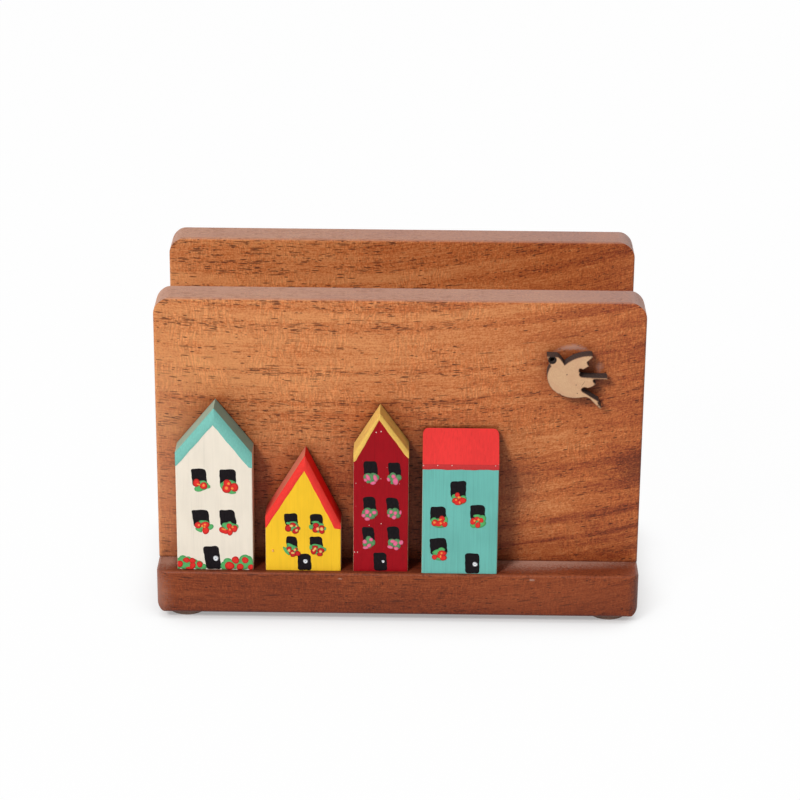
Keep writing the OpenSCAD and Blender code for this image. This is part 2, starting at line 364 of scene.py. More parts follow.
# %% [markdown]
# Hands and rags leave their traces: smears of dried glue round a joint, polish that stays in a
# corner. The same marks also paint in light and shade: a shadow beside a house, a shaded right end
# and a highlit left end on the base's rounded ends, a sheen on the ledge. Each is a soft ellipsoid in
# space with a mottled edge, and it may bend down to both sides.

# %% Smears, stains and painted light
def with_stains_and_light(tree, place, colour, mottle, stains_and_light):
    """Lays the stains and painted light and shade of a table over a colour"""
    for centre, reach, bend, strength, shade in stains_and_light:
        off = add(tree, "VectorMath", MINUS, {0: place, 1: centre})[0]
        dx, dy, dz = add(tree, "SeparateXYZ", {}, {0: off})
        arch = add(tree, "Math", TIMES, {0: dx, 1: dx})[0]
        dz = add(tree, "Math", TIMES_PLUS, {0: arch, 1: bend, 2: dz})[0]
        off = add(tree, "CombineXYZ", {}, {0: dx, 1: dy, 2: dz})[0]
        off = add(tree, "VectorMath", OVER, {0: off, 1: reach})[0]
        far = add(tree, "VectorMath", {"operation": "LENGTH"}, {0: off})["Value"]
        far = add(tree, "Math", TIMES_PLUS, {0: mottle, 1: -1.1, 2: far})[0]
        cover = add(tree, "MapRange", SOFT_STEP, {0: far, 1: 0.55, 2: -0.4, 3: 0.0, 4: strength})[0]
        colour = add(tree, "Mix", BLEND, {0: cover, 6: colour, 7: shade})[2]
    return colour


# %% [markdown]
# The wood itself mixes all of this. Its tone runs from 0, the palest honey, to 1, the darkest
# streak, and a ramp turns the tone into a colour. The streaks break up like smoke and belong to the
# right half, near the branch. What faces up turns paler and hides its pores, for dust and as painted
# sheen, the reflection of the bright surroundings; where the blocks close the wood in, it is darkened
# as painted shade. A board without such rings, like the base, has pores that only get denser to the
# right.

# %% The whole hardwood
WOOD_NOISE = {  # size along X, Y, Z in mm; detail
    "cloud": ((45, 30, 14), 2),
    "rings": ((90, 7, 2.2), 3),
    "fibre": ((7, .5, .32), 3),
    "hair": ((3.2, .3, .2), 2),
    "mottle": ((.6, .6, .5), 1),
    "stain": ((16, 6, 1.7), 3),
    "cluster": ((9, 6, 2.4), 1),
    "patch": ((12, 13, 8), 1),
}
TONES = {"cloud": .36, "rings": .28, "fibre": .44, "hair": .42, "mottle": .52}
PLAIN_TONE = 0.345
HEART_FROM, HEART_TO = -12, 48          # mm, along X, where the streaks come in
LOW_FROM, LOW_TO = 60, 24               # mm above the ledge, where the low part begins and is reached
# The second value is painted shade: what is left of the colour where the blocks close the wood in
NOOK, NOOK_SHADE = 20, (.48, .34, .31)       # mm, how near the blocks must be; what is left of the colour
# Pale colour of what faces up: dust, and painted sheen for the reflection of the bright surroundings
DUST_AND_SHEEN_COLOUR = "#BF9686"


def wood_tone(tree, place, noise, levels, rings, figure, sun, low):
    """0 is pale honey, 1 a dark streak; sun tilts it from end to end, partly as painted light, and low
    darkens or lightens the foot of the board, partly as painted shade
    """
    x, _, z = add(tree, "SeparateXYZ", {}, {0: place})
    smoke = add(tree, "MapRange", SOFT_STEP, {0: noise["stain"], 1: 0.3, 2: 0.62, 3: 0.35, 4: 1.0})[0]
    near_heart = {0: x, 1: HEART_FROM, 2: HEART_TO, 3: 0.0, 4: 1.0 if rings else 0.0}
    heart = add(tree, "MapRange", SOFT_STEP, near_heart)[0]
    heart = add(tree, "Math", TIMES, {0: heart, 1: smoke})[0]
    tone = add(tree, "Mix", {"data_type": "FLOAT"}, {0: heart, 2: PLAIN_TONE, 3: levels[0]})[0]
    tone = add(tree, "Math", TIMES_PLUS, {0: levels[1], 1: 0.12 if rings else 0.0, 2: tone})[0]
    for layer, strength in TONES.items():
        centred = add(tree, "Math", MINUS, {0: noise[layer], 1: 0.5})[0]
        tone = add(tree, "Math", TIMES_PLUS, {0: centred, 1: strength * figure, 2: tone})[0]
    # The tilt from end to end is partly the wood's own tone and partly painted light, falling off away from
    # the lamp on the left
    for start, end, first, last in ((-BOARD_END, BOARD_END, sun[0], sun[1]), (35, 75, 0.0, sun[2])):
        tilt = add(tree, "MapRange", {}, {0: x, 1: start, 2: end, 3: first, 4: last})[0]
        tone = add(tree, "Math", PLUS, {0: tone, 1: tilt})[0]
    # The foot of the board: darker at the left, as painted shade under the houses, and lighter at the right
    depth = add(tree, "MapRange", SOFT_STEP, {0: z, 1: LEDGE_Z + LOW_FROM, 2: LEDGE_Z + LOW_TO})[0]
    weight = add(tree, "MapRange", SOFT_STEP, {0: x, 1: 12, 2: 52, 3: low[0], 4: low[1]})[0]
    return add(tree, "Math", TIMES_PLUS, {0: depth, 1: weight, 2: tone})[0]


# dust is how much of the pale colour of dust and painted sheen lies on what faces up
def oiled_hardwood(name, palette, shift=(0, 0, 0), rings=True, pores=1.0, sun=(-.07, .08, .15),
                   low=(.055, -.10), figure=1.0, dust=0.0, stains_and_light=()):
    material, tree = new_material(name)
    place = in_mm(tree, shift)
    x, y, _ = add(tree, "SeparateXYZ", {}, {0: place})
    height = height_along_grain(tree, place)
    grain = add(tree, "CombineXYZ", {}, {0: x, 1: y, 2: height})[0]
    noise = {}
    for layer, (size, detail) in WOOD_NOISE.items():
        scaled = add(tree, "VectorMath", OVER, {0: grain, 1: size})[0]
        noise[layer] = add(tree, "TexNoise", {}, {"Vector": scaled, "Scale": 1.0, "Detail": detail})[0]
    levels = ring_levels(tree, height)
    tone = wood_tone(tree, place, noise, levels, rings, figure, sun, low)
    colour = add(tree, "ValToRGB", {}, {0: tone})[0]
    set_stops(colour, [(at, linear(shade)) for at, shade in palette])
    ripple = fiddleback(tree, place, height, noise["patch"])
    colour = add(tree, "VectorMath", TIMES, {0: colour, 1: ripple})[0]

    # Dust and painted sheen on what faces up: the pale colour stands in partly for the reflection of the
    # bright surroundings, and hides the pores
    facing = add(tree, "SeparateXYZ", {}, {0: add(tree, "TexCoord")["Normal"]})
    dust_and_sheen = add(tree, "MapRange", SOFT_STEP, {0: facing[2], 1: 0.3, 2: 0.85, 3: 0.0, 4: dust})[0]
    colour = add(tree, "Mix", BLEND, {0: dust_and_sheen, 6: colour, 7: DUST_AND_SHEEN_COLOUR})[2]
    clear = add(tree, "Math", TIMES_PLUS, {0: dust_and_sheen, 1: -1.3, 2: 1.0})[0]

    # Pores, gathered in clusters
    crowd = levels[1]
    if not rings:
        crowd = add(tree, "MapRange", SOFT_STEP, {0: x, 1: -60, 2: 60, 3: .12, 4: .5})[0]
    gather = add(tree, "MapRange", SOFT_STEP, {0: noise["cluster"], 1: 0.36, 2: 0.6, 3: 0.3, 4: 1.0})[0]
    crowd = add(tree, "Math", TIMES, {0: crowd, 1: gather})[0]
    depth = open_pores(tree, grain, crowd, pores)
    dark = add(tree, "Math", TIMES, {0: depth, 1: clear})[0]
    colour = add(tree, "Mix", BLEND, {0: dark, 6: colour, 7: PORE_COLOUR})[2]

    # Painted shade between the blocks, then the stains and painted light
    open_air = add(tree, "AmbientOcclusion", {"samples": 8}, {"Distance": NOOK * MM})["AO"]
    closed = add(tree, "MapRange", {}, {0: open_air, 1: 0.97, 2: 0.32})[0]
    shaded_wood = add(tree, "VectorMath", TIMES, {0: colour, 1: NOOK_SHADE})[0]
    colour = add(tree, "Mix", BLEND, {0: closed, 6: colour, 7: shaded_wood})[2]
    colour = with_stains_and_light(tree, place, colour, noise["mottle"], stains_and_light)

    # Satin lacquer: pores stay open under it, so they are duller and slightly sunk
    roughness = add(tree, "MapRange", {}, {0: depth, 3: 0.42, 4: 0.62})[0]
    relief = add(tree, "Math", TIMES_PLUS, {0: depth, 1: -0.9, 2: noise["fibre"]})[0]
    bump = add(tree, "Bump", {}, {"Strength": 0.3, "Distance": 0.12 * MM, "Height": relief})[0]
    shader = add(tree, "BsdfPrincipled", {}, {"Base Color": colour, "Roughness": roughness, "IOR": 1.5,
                                              "Normal": bump, "Specular IOR Level": 0.25})
    add(tree, "OutputMaterial", {}, {"Surface": shader[0]})
    return material


# %% Give the boards their wood
HONEY = [(0.0, "#E4A064"), (0.3, "#D58B55"), (0.52, "#BE6A37"), (0.75, "#954523"), (1.0, "#5A2613")]
RUSSET = [(0.0, "#A4572F"), (0.3, "#90431F"), (0.52, "#7B3515"), (0.75, "#62260F"), (1.0, "#40170A")]
FRONT_STAINS_AND_SHADE = [  # middle, half sizes, how much it bends down, strength, colour
    ((56.2, PANEL_FRONT, LEDGE_Z + 76.6), (6.4, 2, 1.25), .042, .42, "#CFAFA2"),  # glue over the bird
    ((65.0, PANEL_FRONT, LEDGE_Z + 69.8), (1.6, 2, 2.2), 0, .22, "#CFB2A8"),
    ((78.0, PANEL_FRONT, LEDGE_Z + 34), (7, 9, 9), 0, .5, "#5A2613"),             # dark heart, at the edge
    ((39.5, PANEL_FRONT, LEDGE_Z + 27), (10, 9, 13), 0, .45, "#7A3F27"),          # painted shadow beside the last house
    ((-84.0, PANEL_FRONT, LEDGE_Z + 30), (26, 30, 50), 0, .22, "#DBA182"),        # bleached by the sun
    ((0, PANEL_FRONT, LEDGE_Z), (900, 5, .75), 0, .6, "#4E271A"),                 # glue line on the ledge
]
BASE_STAINS_AND_LIGHT = [
    ((-77, -34, LEDGE_Z), (5, 7, 2.5), 0, .6, "#C79C89"),                         # dust, left corner
    ((50, BOARD_FRONT, 10), (26, 3, 8), 0, .25, "#A0512B"),                       # redder grain
    ((BOARD_END, BOARD_FRONT + 1.5, 10), (4, 7, 12), 0, .45, "#53352F"),          # painted shade at the right end, where the rounded corner turns from the lamp
    ((-BOARD_END, BOARD_FRONT + 1.5, 9), (6, 7, 12), 0, .25, "#C79C89"),          # painted highlight at the left end, on its rounded corner
    ((43, PANEL_FRONT, LEDGE_Z), (20, 9.5, 4), 0, .6, "#C99F8D"),                 # polish, and painted sheen, on the ledge
    ((58, PANEL_FRONT, LEDGE_Z), (27, 6.6, 4), 0, .6, "#C99F8D"),
    ((44.5, BOARD_FRONT, 15.9), (1.1, 2, .5), 0, .5, "#C9A999"),                  # two small nicks
    ((-19, BOARD_FRONT, 15.5), (.8, 2, .4), 0, .45, "#C9A999"),
]
woods = {
    "front_panel": oiled_hardwood("front_panel_oiled_wood", HONEY, dust=.55, stains_and_light=FRONT_STAINS_AND_SHADE),
    "back_panel": oiled_hardwood("back_panel_oiled_wood", HONEY, (23, 140, 9), dust=.55),
    "base_board": oiled_hardwood("base_board_oiled_wood", RUSSET, rings=False, pores=.95, figure=1.5,
                                 sun=(.10, -.03, 0), low=(0, 0), dust=.06, stains_and_light=BASE_STAINS_AND_LIGHT),
}
for node, material in woods.items():
    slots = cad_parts[node].material_slots
    for slot in slots:
        slot.material = material
    print(f"{node}: {material.name} on {len(slots)} slot")

# %% [markdown]
# ## The houses' blocks
#
# Each house is a block of pale softwood with brushed acrylic paint on its front and roof. The brush
# ran up and down, so the paint has fine upright streaks, and it stops raggedly at the front's edges:
# the side walls are bare wood. The CAD blocks already have the right shape, so they stay, and one
# material tells front, roof and sides apart by which way the surface faces.

# %% Paint on the blocks
HOUSE_PAINT = {
    # front, roof, left roof slope (worn, and paler as painted light), brush marks along X and Z in mm,
    # how much they show, dust, how open to the air the bare sides must be to get no painted shade
    "cream_house": ("#F3E9D8", "#8BB2A7", "#A2BBA8", (1.6, 14), 0.5, 0.0, 0.1),
    "yellow_house": ("#FDCA2C", "#F40311", "#DC7F68", (1.2, 12), 0.7, 0.0, 0.42),
    "crimson_house": ("#9F0717", "#EECD70", "#F5CB6F", (1.0, 5), 1.3, 0.3, 0.45),
    "teal_house": ("#70BFB4", "#EE3C3A", "#EE3C3A", (0.55, 16), 1.0, 0.0, 0.7),
}
# Painted shade darkens the bare walls and the roofs that a neighbour closes in, within this reach
WALL_NOOK = 8                  # mm, how near a neighbour must be to close a wall in
PALE_SLOPE_FROM, PALE_SLOPE_TO = 18, 33      # mm above the ledge, where the left slopes begin to turn paler (wear and painted light), and are


def bare_softwood(tree, fibre):
    """Pale side walls with an upright grain"""
    bare = add(tree, "Mix", BLEND, {0: fibre, 6: "#CFA286", 7: "#E8BFA0"})[2]
    veins = add(tree, "MapRange", SOFT_STEP, {0: fibre, 1: .55, 2: .8})[0]
    return add(tree, "Mix", BLEND, {0: veins, 6: bare, 7: "#A07455"})[2]


def dried_dust(tree, place, colour, dusty):
    """Specks of dust that dried into the paint, one in a 2 mm cell, in a share of the cells"""
    grit = add(tree, "TexVoronoi", {}, {"Vector": place, "Scale": 0.5})
    pick = add(tree, "SeparateColor", {}, {0: grit["Color"]})
    chosen = add(tree, "Math", BELOW, {0: pick[0], 1: dusty})[0]
    speck = add(tree, "MapRange", SOFT_STEP, {0: grit["Distance"], 1: .09, 2: .04, 3: 0.0, 4: 0.75})[0]
    speck = add(tree, "Math", TIMES, {0: speck, 1: chosen})[0]
    return add(tree, "Mix", BLEND, {0: speck, 6: colour, 7: "#F1E4DC"})[2]


# %% The blocks' material
def brushed_acrylic(name, front, roof, worn_and_lit_roof, marks, show, dusty, unshaded_at):
    """Matt paint with upright brush marks on front and roof, bare wood on the sides"""
    material, tree = new_material(name)
    place = in_mm(tree)
    facing = add(tree, "SeparateXYZ", {}, {0: add(tree, "TexCoord")["Normal"]})
    noise = {}
    for layer, size, detail in (
            ("streaks", (marks[0], 2.0, marks[1]), 3), ("cloud", (9, 9, 11), 2),
            ("bristle", (.34, 2, 24), 1), ("fibre", (.5, .8, 14), 3), ("ragged", (.6, .6, 1.3), 2)):
        scaled = add(tree, "VectorMath", OVER, {0: place, 1: size})[0]
        noise[layer] = add(tree, "TexNoise", {}, {"Vector": scaled, "Scale": 1.0, "Detail": detail})[0]
    amount = add(tree, "Math", PLUS, {0: noise["streaks"], 1: noise["cloud"]})[0]
    uneven = {0: amount, 1: 0.75, 2: 1.25, 3: 1 - .055 * show, 4: 1 + .045 * show}
    shade = add(tree, "MapRange", SOFT_STEP, uneven)[0]
    ploughed = {0: noise["bristle"], 1: 0.6, 2: 0.72, 3: 0.0, 4: -0.10 * show}
    furrow = add(tree, "MapRange", SOFT_STEP, ploughed)[0]
    shade = add(tree, "Math", PLUS, {0: shade, 1: furrow})[0]

    # Painted shade: walls and roofs are darkened where a neighbour closes them in
    open_air = add(tree, "AmbientOcclusion", {"samples": 8}, {"Distance": WALL_NOOK * MM})["AO"]
    closed_in_shade = add(tree, "MapRange", {}, {0: open_air, 1: 0.0, 2: unshaded_at, 3: 0.1, 4: 1.0})[0]
    bare = add(tree, "VectorMath", TIMES, {0: bare_softwood(tree, noise["fibre"]), 1: closed_in_shade})[0]
    # Left-facing roof slopes take a paler colour, partly worn paint and partly painted light from the lamp
    # on the left; near the eaves the plain roof colour stays, as painted shade
    worn_and_lit = add(tree, "MapRange", SOFT_STEP, {0: facing[0], 1: -0.2, 2: -0.5})[0]
    z = add(tree, "SeparateXYZ", {}, {0: place})[2]
    climb = {0: z, 1: LEDGE_Z + PALE_SLOPE_FROM, 2: LEDGE_Z + PALE_SLOPE_TO, 3: 0.3, 4: 1.0}
    high = add(tree, "MapRange", SOFT_STEP, climb)[0]
    worn_and_lit = add(tree, "Math", TIMES, {0: worn_and_lit, 1: high})[0]
    tiles = add(tree, "Mix", BLEND, {0: worn_and_lit, 6: roof, 7: worn_and_lit_roof})[2]
    closed_in_shade = add(tree, "MapRange", {}, {0: open_air, 1: 0.3, 2: 0.7, 3: 0.35, 4: 1.0})[0]
    tiles = add(tree, "VectorMath", TIMES, {0: tiles, 1: closed_in_shade})[0]

    # Which way a point faces says what it is: the front's paint ends raggedly, the roof's doesn't
    turned = add(tree, "Math", TIMES, {0: facing[1], 1: -1})[0]
    reach = add(tree, "Math", TIMES_PLUS, {0: noise["ragged"], 1: 0.5, 2: turned})[0]
    on_front = add(tree, "MapRange", SOFT_STEP, {0: reach, 1: 0.72, 2: 0.92})[0]
    on_roof = add(tree, "MapRange", SOFT_STEP, {0: facing[2], 1: 0.05, 2: 0.2})[0]
    colour = add(tree, "Mix", BLEND, {0: on_front, 6: bare, 7: front})[2]
    colour = add(tree, "Mix", BLEND, {0: on_roof, 6: colour, 7: tiles})[2]
    colour = add(tree, "VectorMath", TIMES, {0: colour, 1: shade})[0]
    colour = dried_dust(tree, place, colour, dusty)

    # Paint is smoother than bare wood
    painted = add(tree, "Math", LARGER, {0: on_front, 1: on_roof})[0]
    roughness = add(tree, "MapRange", {}, {0: painted, 3: 0.7, 4: 0.5})[0]
    bump = add(tree, "Bump", {}, {"Strength": 0.3, "Distance": 0.06 * MM, "Height": noise["streaks"]})[0]
    shader = add(tree, "BsdfPrincipled", {}, {"Base Color": colour, "Roughness": roughness, "IOR": 1.48,
                                              "Normal": bump, "Specular IOR Level": 0.15})
    add(tree, "OutputMaterial", {}, {"Surface": shader[0]})
    return material


for node, recipe in HOUSE_PAINT.items():
    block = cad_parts[node]
    for slot in block.material_slots:
        slot.material = brushed_acrylic(node + "_brushed_acrylic", *recipe)
    print(f"{node}: {recipe[0]} walls under a {recipe[1]} roof")

# %% [markdown]
# ## Windows, doors and flowers
#
# These were painted by hand in thick acrylic: black panes first, then green leaves, then berries
# and petals pressed on with a round brush, and last a pale dab in the middle of a flower. The
# paint stands about a tenth of a millimetre proud and has soft, slightly uneven rims. It could be
# drawn into the material of the wall, but its thickness catches the light, so each stroke is a low
# mound of its own: an outline, drawn in rings up to a flat top. At its rim the paint is thin and
# mixes with what lies under it, and the rim colour is also darker as painted shade at the stroke's
# edge, so each point carries how near the rim it is. All strokes of one colour on one house are one
# piece.
#
# X is counted from the middle of the board and heights from the ledge. A pane is four corners,
# which the brush rounds. Every other stroke is an ellipse: middle x and height, half width, half
# height and, where it is turned, the degrees.

# %% Strokes on the cream house
STROKES = {}
STROKES["cream"] = {
    "panes": [
        ((-67.9, 36.2), (-63.0, 36.3), (-62.6, 29.7), (-67.4, 30.0)),
        ((-58.6, 36.0), (-53.2, 36.2), (-53.1, 29.8), (-58.4, 29.9)),
        ((-68.0, 21.4), (-62.4, 21.6), (-62.0, 15.6), (-67.2, 15.3)),
        ((-58.9, 21.5), (-54.0, 21.7), (-53.0, 16.2), (-58.4, 15.5)),
        ((-64.5, 8.2), (-59.3, 8.6), (-58.4, 0.1), (-63.4, 0.1)),
    ],
    "leaves": [
        (-64.3, 30.2, 2.17, 1.77, 12), (-62.6, 29.9, 1.01, 0.67), (-55.4, 30.0, 2.86, 2.36),
        (-64.2, 15.8, 2.41, 1.88, 10), (-55.6, 15.4, 2.57, 1.79), (-65.5, 29, 1.45, 0.93, -8),
        (-63.9, 31.7, 1.03, 0.36), (-62.1, 29.8, 0.44, 0.54, 30), (-57.9, 30.3, 0.5, 0.99, 10),
        (-54.4, 27.8, 1.24, 0.45), (-54.4, 31.5, 0.41, 0.39), (-64.6, 17.4, 1.04, 0.36),
        (-61.7, 15.4, 0.81, 1.1, -25), (-65.7, 14.3, 1.32, 0.55, -35), (-57.2, 16.3, 0.72, 0.73),
        (-55.5, 17, 0.72, 0.46), (-53.2, 15.7, 0.67, 0.79), (-72.7, 2, 1.33, 2),
        (-71.1, 3.2, 1.74, 1.69), (-69.5, 3.3, 1.19, 1.31), (-70, 1.2, 2.93, 1.39),
        (-67.4, 2.2, 1.26, 1.46), (-66, 1.5, 1.75, 1.54), (-64.3, 0.9, 0.84, 1.08),
        (-57.8, 1.3, 0.84, 1.54), (-56.3, 2.7, 1.54, 1.46), (-56.5, 1.1, 2.1, 1.23),
        (-54.1, 2.1, 1.54, 2), (-50.7, 3.7, 1.81, 1.77), (-51.3, 1.8, 2.51, 1.85),
        (-49.1, 2.6, 1.26, 2.3), (-48.2, 1.1, 1.26, 1.23),
    ],
    "petals": [
        (-66.1, 31.2, 1.24, 1.38), (-63.8, 30.2, 1.22, 1.32), (-56, 31.1, 1.31, 1.43),
        (-56.3, 29.3, 1.55, 1.58), (-53.8, 29.8, 1.38, 1.58), (-65.9, 16, 1.08, 1.25),
        (-63.5, 16.2, 1.39, 1.19), (-63.4, 14.2, 1.18, 1.37), (-57.8, 14.3, 1.28, 1.04, -35),
        (-56.9, 13.8, 0.86, 0.91), (-55.6, 15.8, 0.94, 1), (-53.9, 14.9, 1.08, 1.25),
        (-55.4, 13.8, 1.04, 1.34), (-72.3, 1.9, 1.15, 1.26), (-70, 3.3, 1.09, 1.01),
        (-68, 3.1, 1.09, 1.01), (-67.9, 1.4, 0.95, 1.23), (-68.9, 0.4, 1.47, 0.54),
        (-65.6, 1.8, 1.01, 1.14), (-55.7, 1.4, 1.56, 1.54), (-53.7, 3.5, 1.2, 1.35),
        (-52.2, 1, 1.23, 1.23), (-50.5, 3.5, 1.12, 1.17), (-48.7, 1, 0.95, 1.05),
    ],
    "dabs": [
        (-65.4, 30.7, 0.76, 0.3, -15), (-63.8, 30.4, 0.52, 0.57), (-55.6, 31.1, 0.52, 0.51, -20),
        (-56.3, 29.5, 0.61, 0.69), (-54.4, 29.4, 0.52, 0.45), (-65.6, 16.1, 0.39, 0.43),
        (-63.6, 16.3, 0.47, 0.4), (-64.5, 15.8, 0.39, 0.49), (-63.8, 15.4, 0.42, 0.3),
        (-57.4, 14.7, 0.86, 0.34, -15), (-54.5, 15.5, 0.42, 0.43), (-55.4, 14.6, 0.42, 0.46),
    ],
    "knob": [
        (-60.2, 4.1, 1, 1.14),
    ],
}
print("cream:", {kind: len(strokes) for kind, strokes in STROKES["cream"].items()})

# %% Strokes on the yellow house
STROKES["yellow"] = {
    "panes": [
        ((-37.7, 20.4), (-33.2, 20.8), (-32.9, 16.5), (-37.1, 16.1)),
        ((-29.0, 20.4), (-24.9, 20.6), (-24.6, 16.4), (-28.9, 16.4)),
        ((-36.9, 12.3), (-33.4, 12.4), (-33.0, 7.9), (-36.8, 8.3)),
        ((-29.2, 12.3), (-25.1, 12.4), (-24.6, 8.3), (-29.0, 8.9)),
        ((-33.1, 6.0), (-28.9, 6.1), (-28.4, 0.1), (-33.1, 0.1)),
    ],
    "leaves": [
        (-34.7, 15.8, 2.02, 1.7), (-26.5, 15.7, 2.18, 1.79), (-35.0, 7.7, 2.03, 1.63),
        (-26.4, 7.6, 2.19, 1.8), (-36.2, 17.1, 0.7, 0.44), (-34.6, 17.4, 1.38, 0.35),
        (-32.5, 15.2, 0.38, 0.51), (-27.2, 17.6, 1.33, 0.41), (-28.7, 15.8, 0.61, 0.92),
        (-25.1, 16.8, 0.7, 0.35), (-24, 15.3, 0.35, 0.6), (-36.8, 7, 0.61, 1.76, 35),
        (-35.5, 9, 1.38, 0.67, -30), (-34.8, 7.1, 0.5, 0.54), (-28.7, 8.4, 0.55, 0.96),
        (-27.3, 9.3, 1.24, 0.38), (-24.3, 7.8, 0.8, 0.58, -35), (-26.5, 7.1, 0.5, 0.54),
    ],
    "petals": [
        (-36.2, 15.3, 1.09, 1.27), (-34.6, 16.6, 1.02, 0.83, -15), (-33.8, 14.3, 1.09, 1.05),
        (-32.9, 15.3, 0.64, 0.73), (-27, 16.5, 1.09, 0.83), (-27.2, 14.9, 1.09, 1.05),
        (-25.1, 15.7, 0.96, 0.83), (-25.1, 14.3, 0.96, 0.89), (-35.9, 7.9, 0.87, 0.83),
        (-35.2, 6.7, 0.87, 0.96), (-34.6, 5.7, 0.96, 0.83), (-33.1, 6.2, 0.96, 0.96, -15),
        (-33.6, 7.8, 0.47, 0.51), (-27.3, 8.5, 0.96, 0.77), (-27.8, 7.1, 1.02, 1.2),
        (-25.4, 7.4, 1.19, 0.99), (-25.8, 6, 0.96, 0.83),
    ],
    "dabs": [
        (-35.1, 16.2, 0.7, 0.48, -10), (-33.5, 16.1, 0.38, 0.35), (-33.4, 14.6, 0.49, 0.54),
        (-26.4, 15.2, 0.61, 0.7), (-25.1, 15.2, 0.64, 0.67), (-35.9, 7.3, 0.52, 0.58),
        (-34, 7.5, 0.47, 0.48), (-34.7, 6.4, 0.7, 0.38), (-27.3, 8, 0.55, 0.51),
        (-27.8, 7.4, 0.41, 0.42), (-25.5, 7, 0.52, 0.54), (-41.3, 7.1, 0.38, 0.42),
    ],
    "knob": [
        (-30.5, 3.4, 0.88, 0.9),
    ],
}
print("yellow:", {kind: len(strokes) for kind, strokes in STROKES["yellow"].items()})

# %% Strokes on the crimson house
STROKES["crimson"] = {
    "panes": [
        ((-11.5, 39.5), (-7.1, 39.7), (-6.6, 34.6), (-11.2, 34.5)),
        ((-3.5, 39.1), (0.5, 39.3), (1.0, 34.3), (-3.0, 34.3)),
        ((-11.6, 26.8), (-7.6, 27.0), (-7.1, 21.6), (-11.2, 21.7)),
        ((-4.1, 26.7), (-0.1, 26.6), (0.6, 21.7), (-3.5, 21.7)),
        ((-12.0, 16.0), (-8.0, 16.1), (-7.5, 10.8), (-11.3, 10.8)),
        ((-3.7, 16.2), (0.3, 16.4), (0.7, 10.9), (-3.1, 10.9)),
        ((-8.1, 6.8), (-3.8, 6.8), (-3.4, 0.2), (-7.8, 0.2)),
    ],
    "leaves": [
        (-9.9, 33.8, 1.52, 1.59), (-8.1, 34, 1.29, 1.59), (-7, 33.9, 0.84, 0.89, 20),
        (-9, 32.8, 1.4, 1.08), (-1.7, 33.9, 1.4, 1.72), (-2.8, 33.7, 0.82, 1.08),
        (0.1, 33.9, 0.99, 1.08), (-1.1, 32.9, 1.4, 1.46), (-10.1, 21.5, 1.54, 1.48),
        (-8.2, 21.2, 1.54, 1.53), (-10.8, 20.7, 1.1, 1.29), (-9.1, 19.9, 1.4, 1),
        (-2.5, 21.5, 1.1, 1.41), (-0.9, 21.8, 1.25, 1.28), (-0.3, 20.5, 1.17, 1.12),
        (-1.9, 20.4, 1.25, 0.96), (-9.6, 11.4, 1.11, 1.38), (-10.5, 10.1, 1.11, 1.38),
        (-8.6, 10.4, 1.18, 1.3), (-9.8, 9.3, 1.4, 0.94), (-2, 10.7, 1.3, 1.21),
        (-0.3, 10.7, 1.33, 1.21), (-2.1, 9.7, 1.11, 1.13), (-0.2, 9.4, 1.11, 1.22),
    ],
    "petals": [
        (-9.9, 33.8, 0.64, 1.21, 25), (-10.7, 32.9, 0.68, 0.51, -35), (-7.5, 33.6, 0.68, 1.27, 15),
        (-8.2, 31.9, 0.99, 0.59, 20), (-1.6, 34.3, 0.72, 0.74), (-0.9, 32.6, 0.88, 1.43),
        (-3.2, 33.2, 0.49, 0.79, 30), (-10.2, 21.5, 0.81, 0.93), (-7.8, 21.3, 0.7, 0.71),
        (-11.3, 20.2, 0.68, 0.68, -30), (-10.1, 19, 0.91, 0.68), (-9.1, 20.4, 0.47, 0.64),
        (-2.3, 21.6, 0.62, 0.67), (-0.9, 21.2, 0.62, 0.67), (-1.3, 19.7, 0.82, 0.74),
        (-3, 20.3, 0.47, 0.51), (0.8, 21.4, 0.41, 0.74), (-10.9, 10.7, 0.71, 0.81),
        (-8.8, 11.5, 0.65, 0.65), (-9.5, 9.4, 0.81, 0.68, 20), (-10.6, 8.6, 0.91, 0.58),
        (-1.7, 11, 0.85, 0.58), (-0.8, 10.2, 0.77, 0.97), (1.1, 10.6, 0.74, 0.84),
        (-0.5, 8.4, 0.83, 0.58), (-2.5, 8.9, 1.06, 0.55, -20),
    ],
    "dabs": [
        (-8.6, 33.8, 0.37, 1.21, 5), (-9.9, 32.3, 0.61, 0.46), (-2.6, 33.9, 0.42, 0.48),
        (0.5, 33.9, 0.44, 0.76), (-2.1, 32, 0.4, 0.43), (-10.1, 20.2, 0.62, 0.58),
        (-8.2, 19.9, 0.68, 0.68), (-11.3, 21.5, 0.5, 0.51), (0, 20.3, 0.65, 0.67),
        (-2.3, 20.3, 0.47, 0.48), (-1, 22.4, 0.73, 0.42), (-8.2, 10.2, 0.71, 0.71),
        (-10.8, 9.6, 0.53, 0.52), (-2.2, 10, 0.62, 0.55), (0.1, 9.4, 0.56, 0.58),
    ],
    "knob": [
        (-4.8, 3.7, 0.53, 0.58),
    ],
    "specks": [
        (-14.3, 6.9, 0.17, 0.17), (-13.3, 6.9, 0.17, 0.17), (-7.3, 49.8, 0.17, 0.17),
        (-5.7, 50.1, 0.17, 0.17), (-5.5, 17.3, 0.17, 0.17),
    ],
}
print("crimson:", {kind: len(strokes) for kind, strokes in STROKES["crimson"].items()})

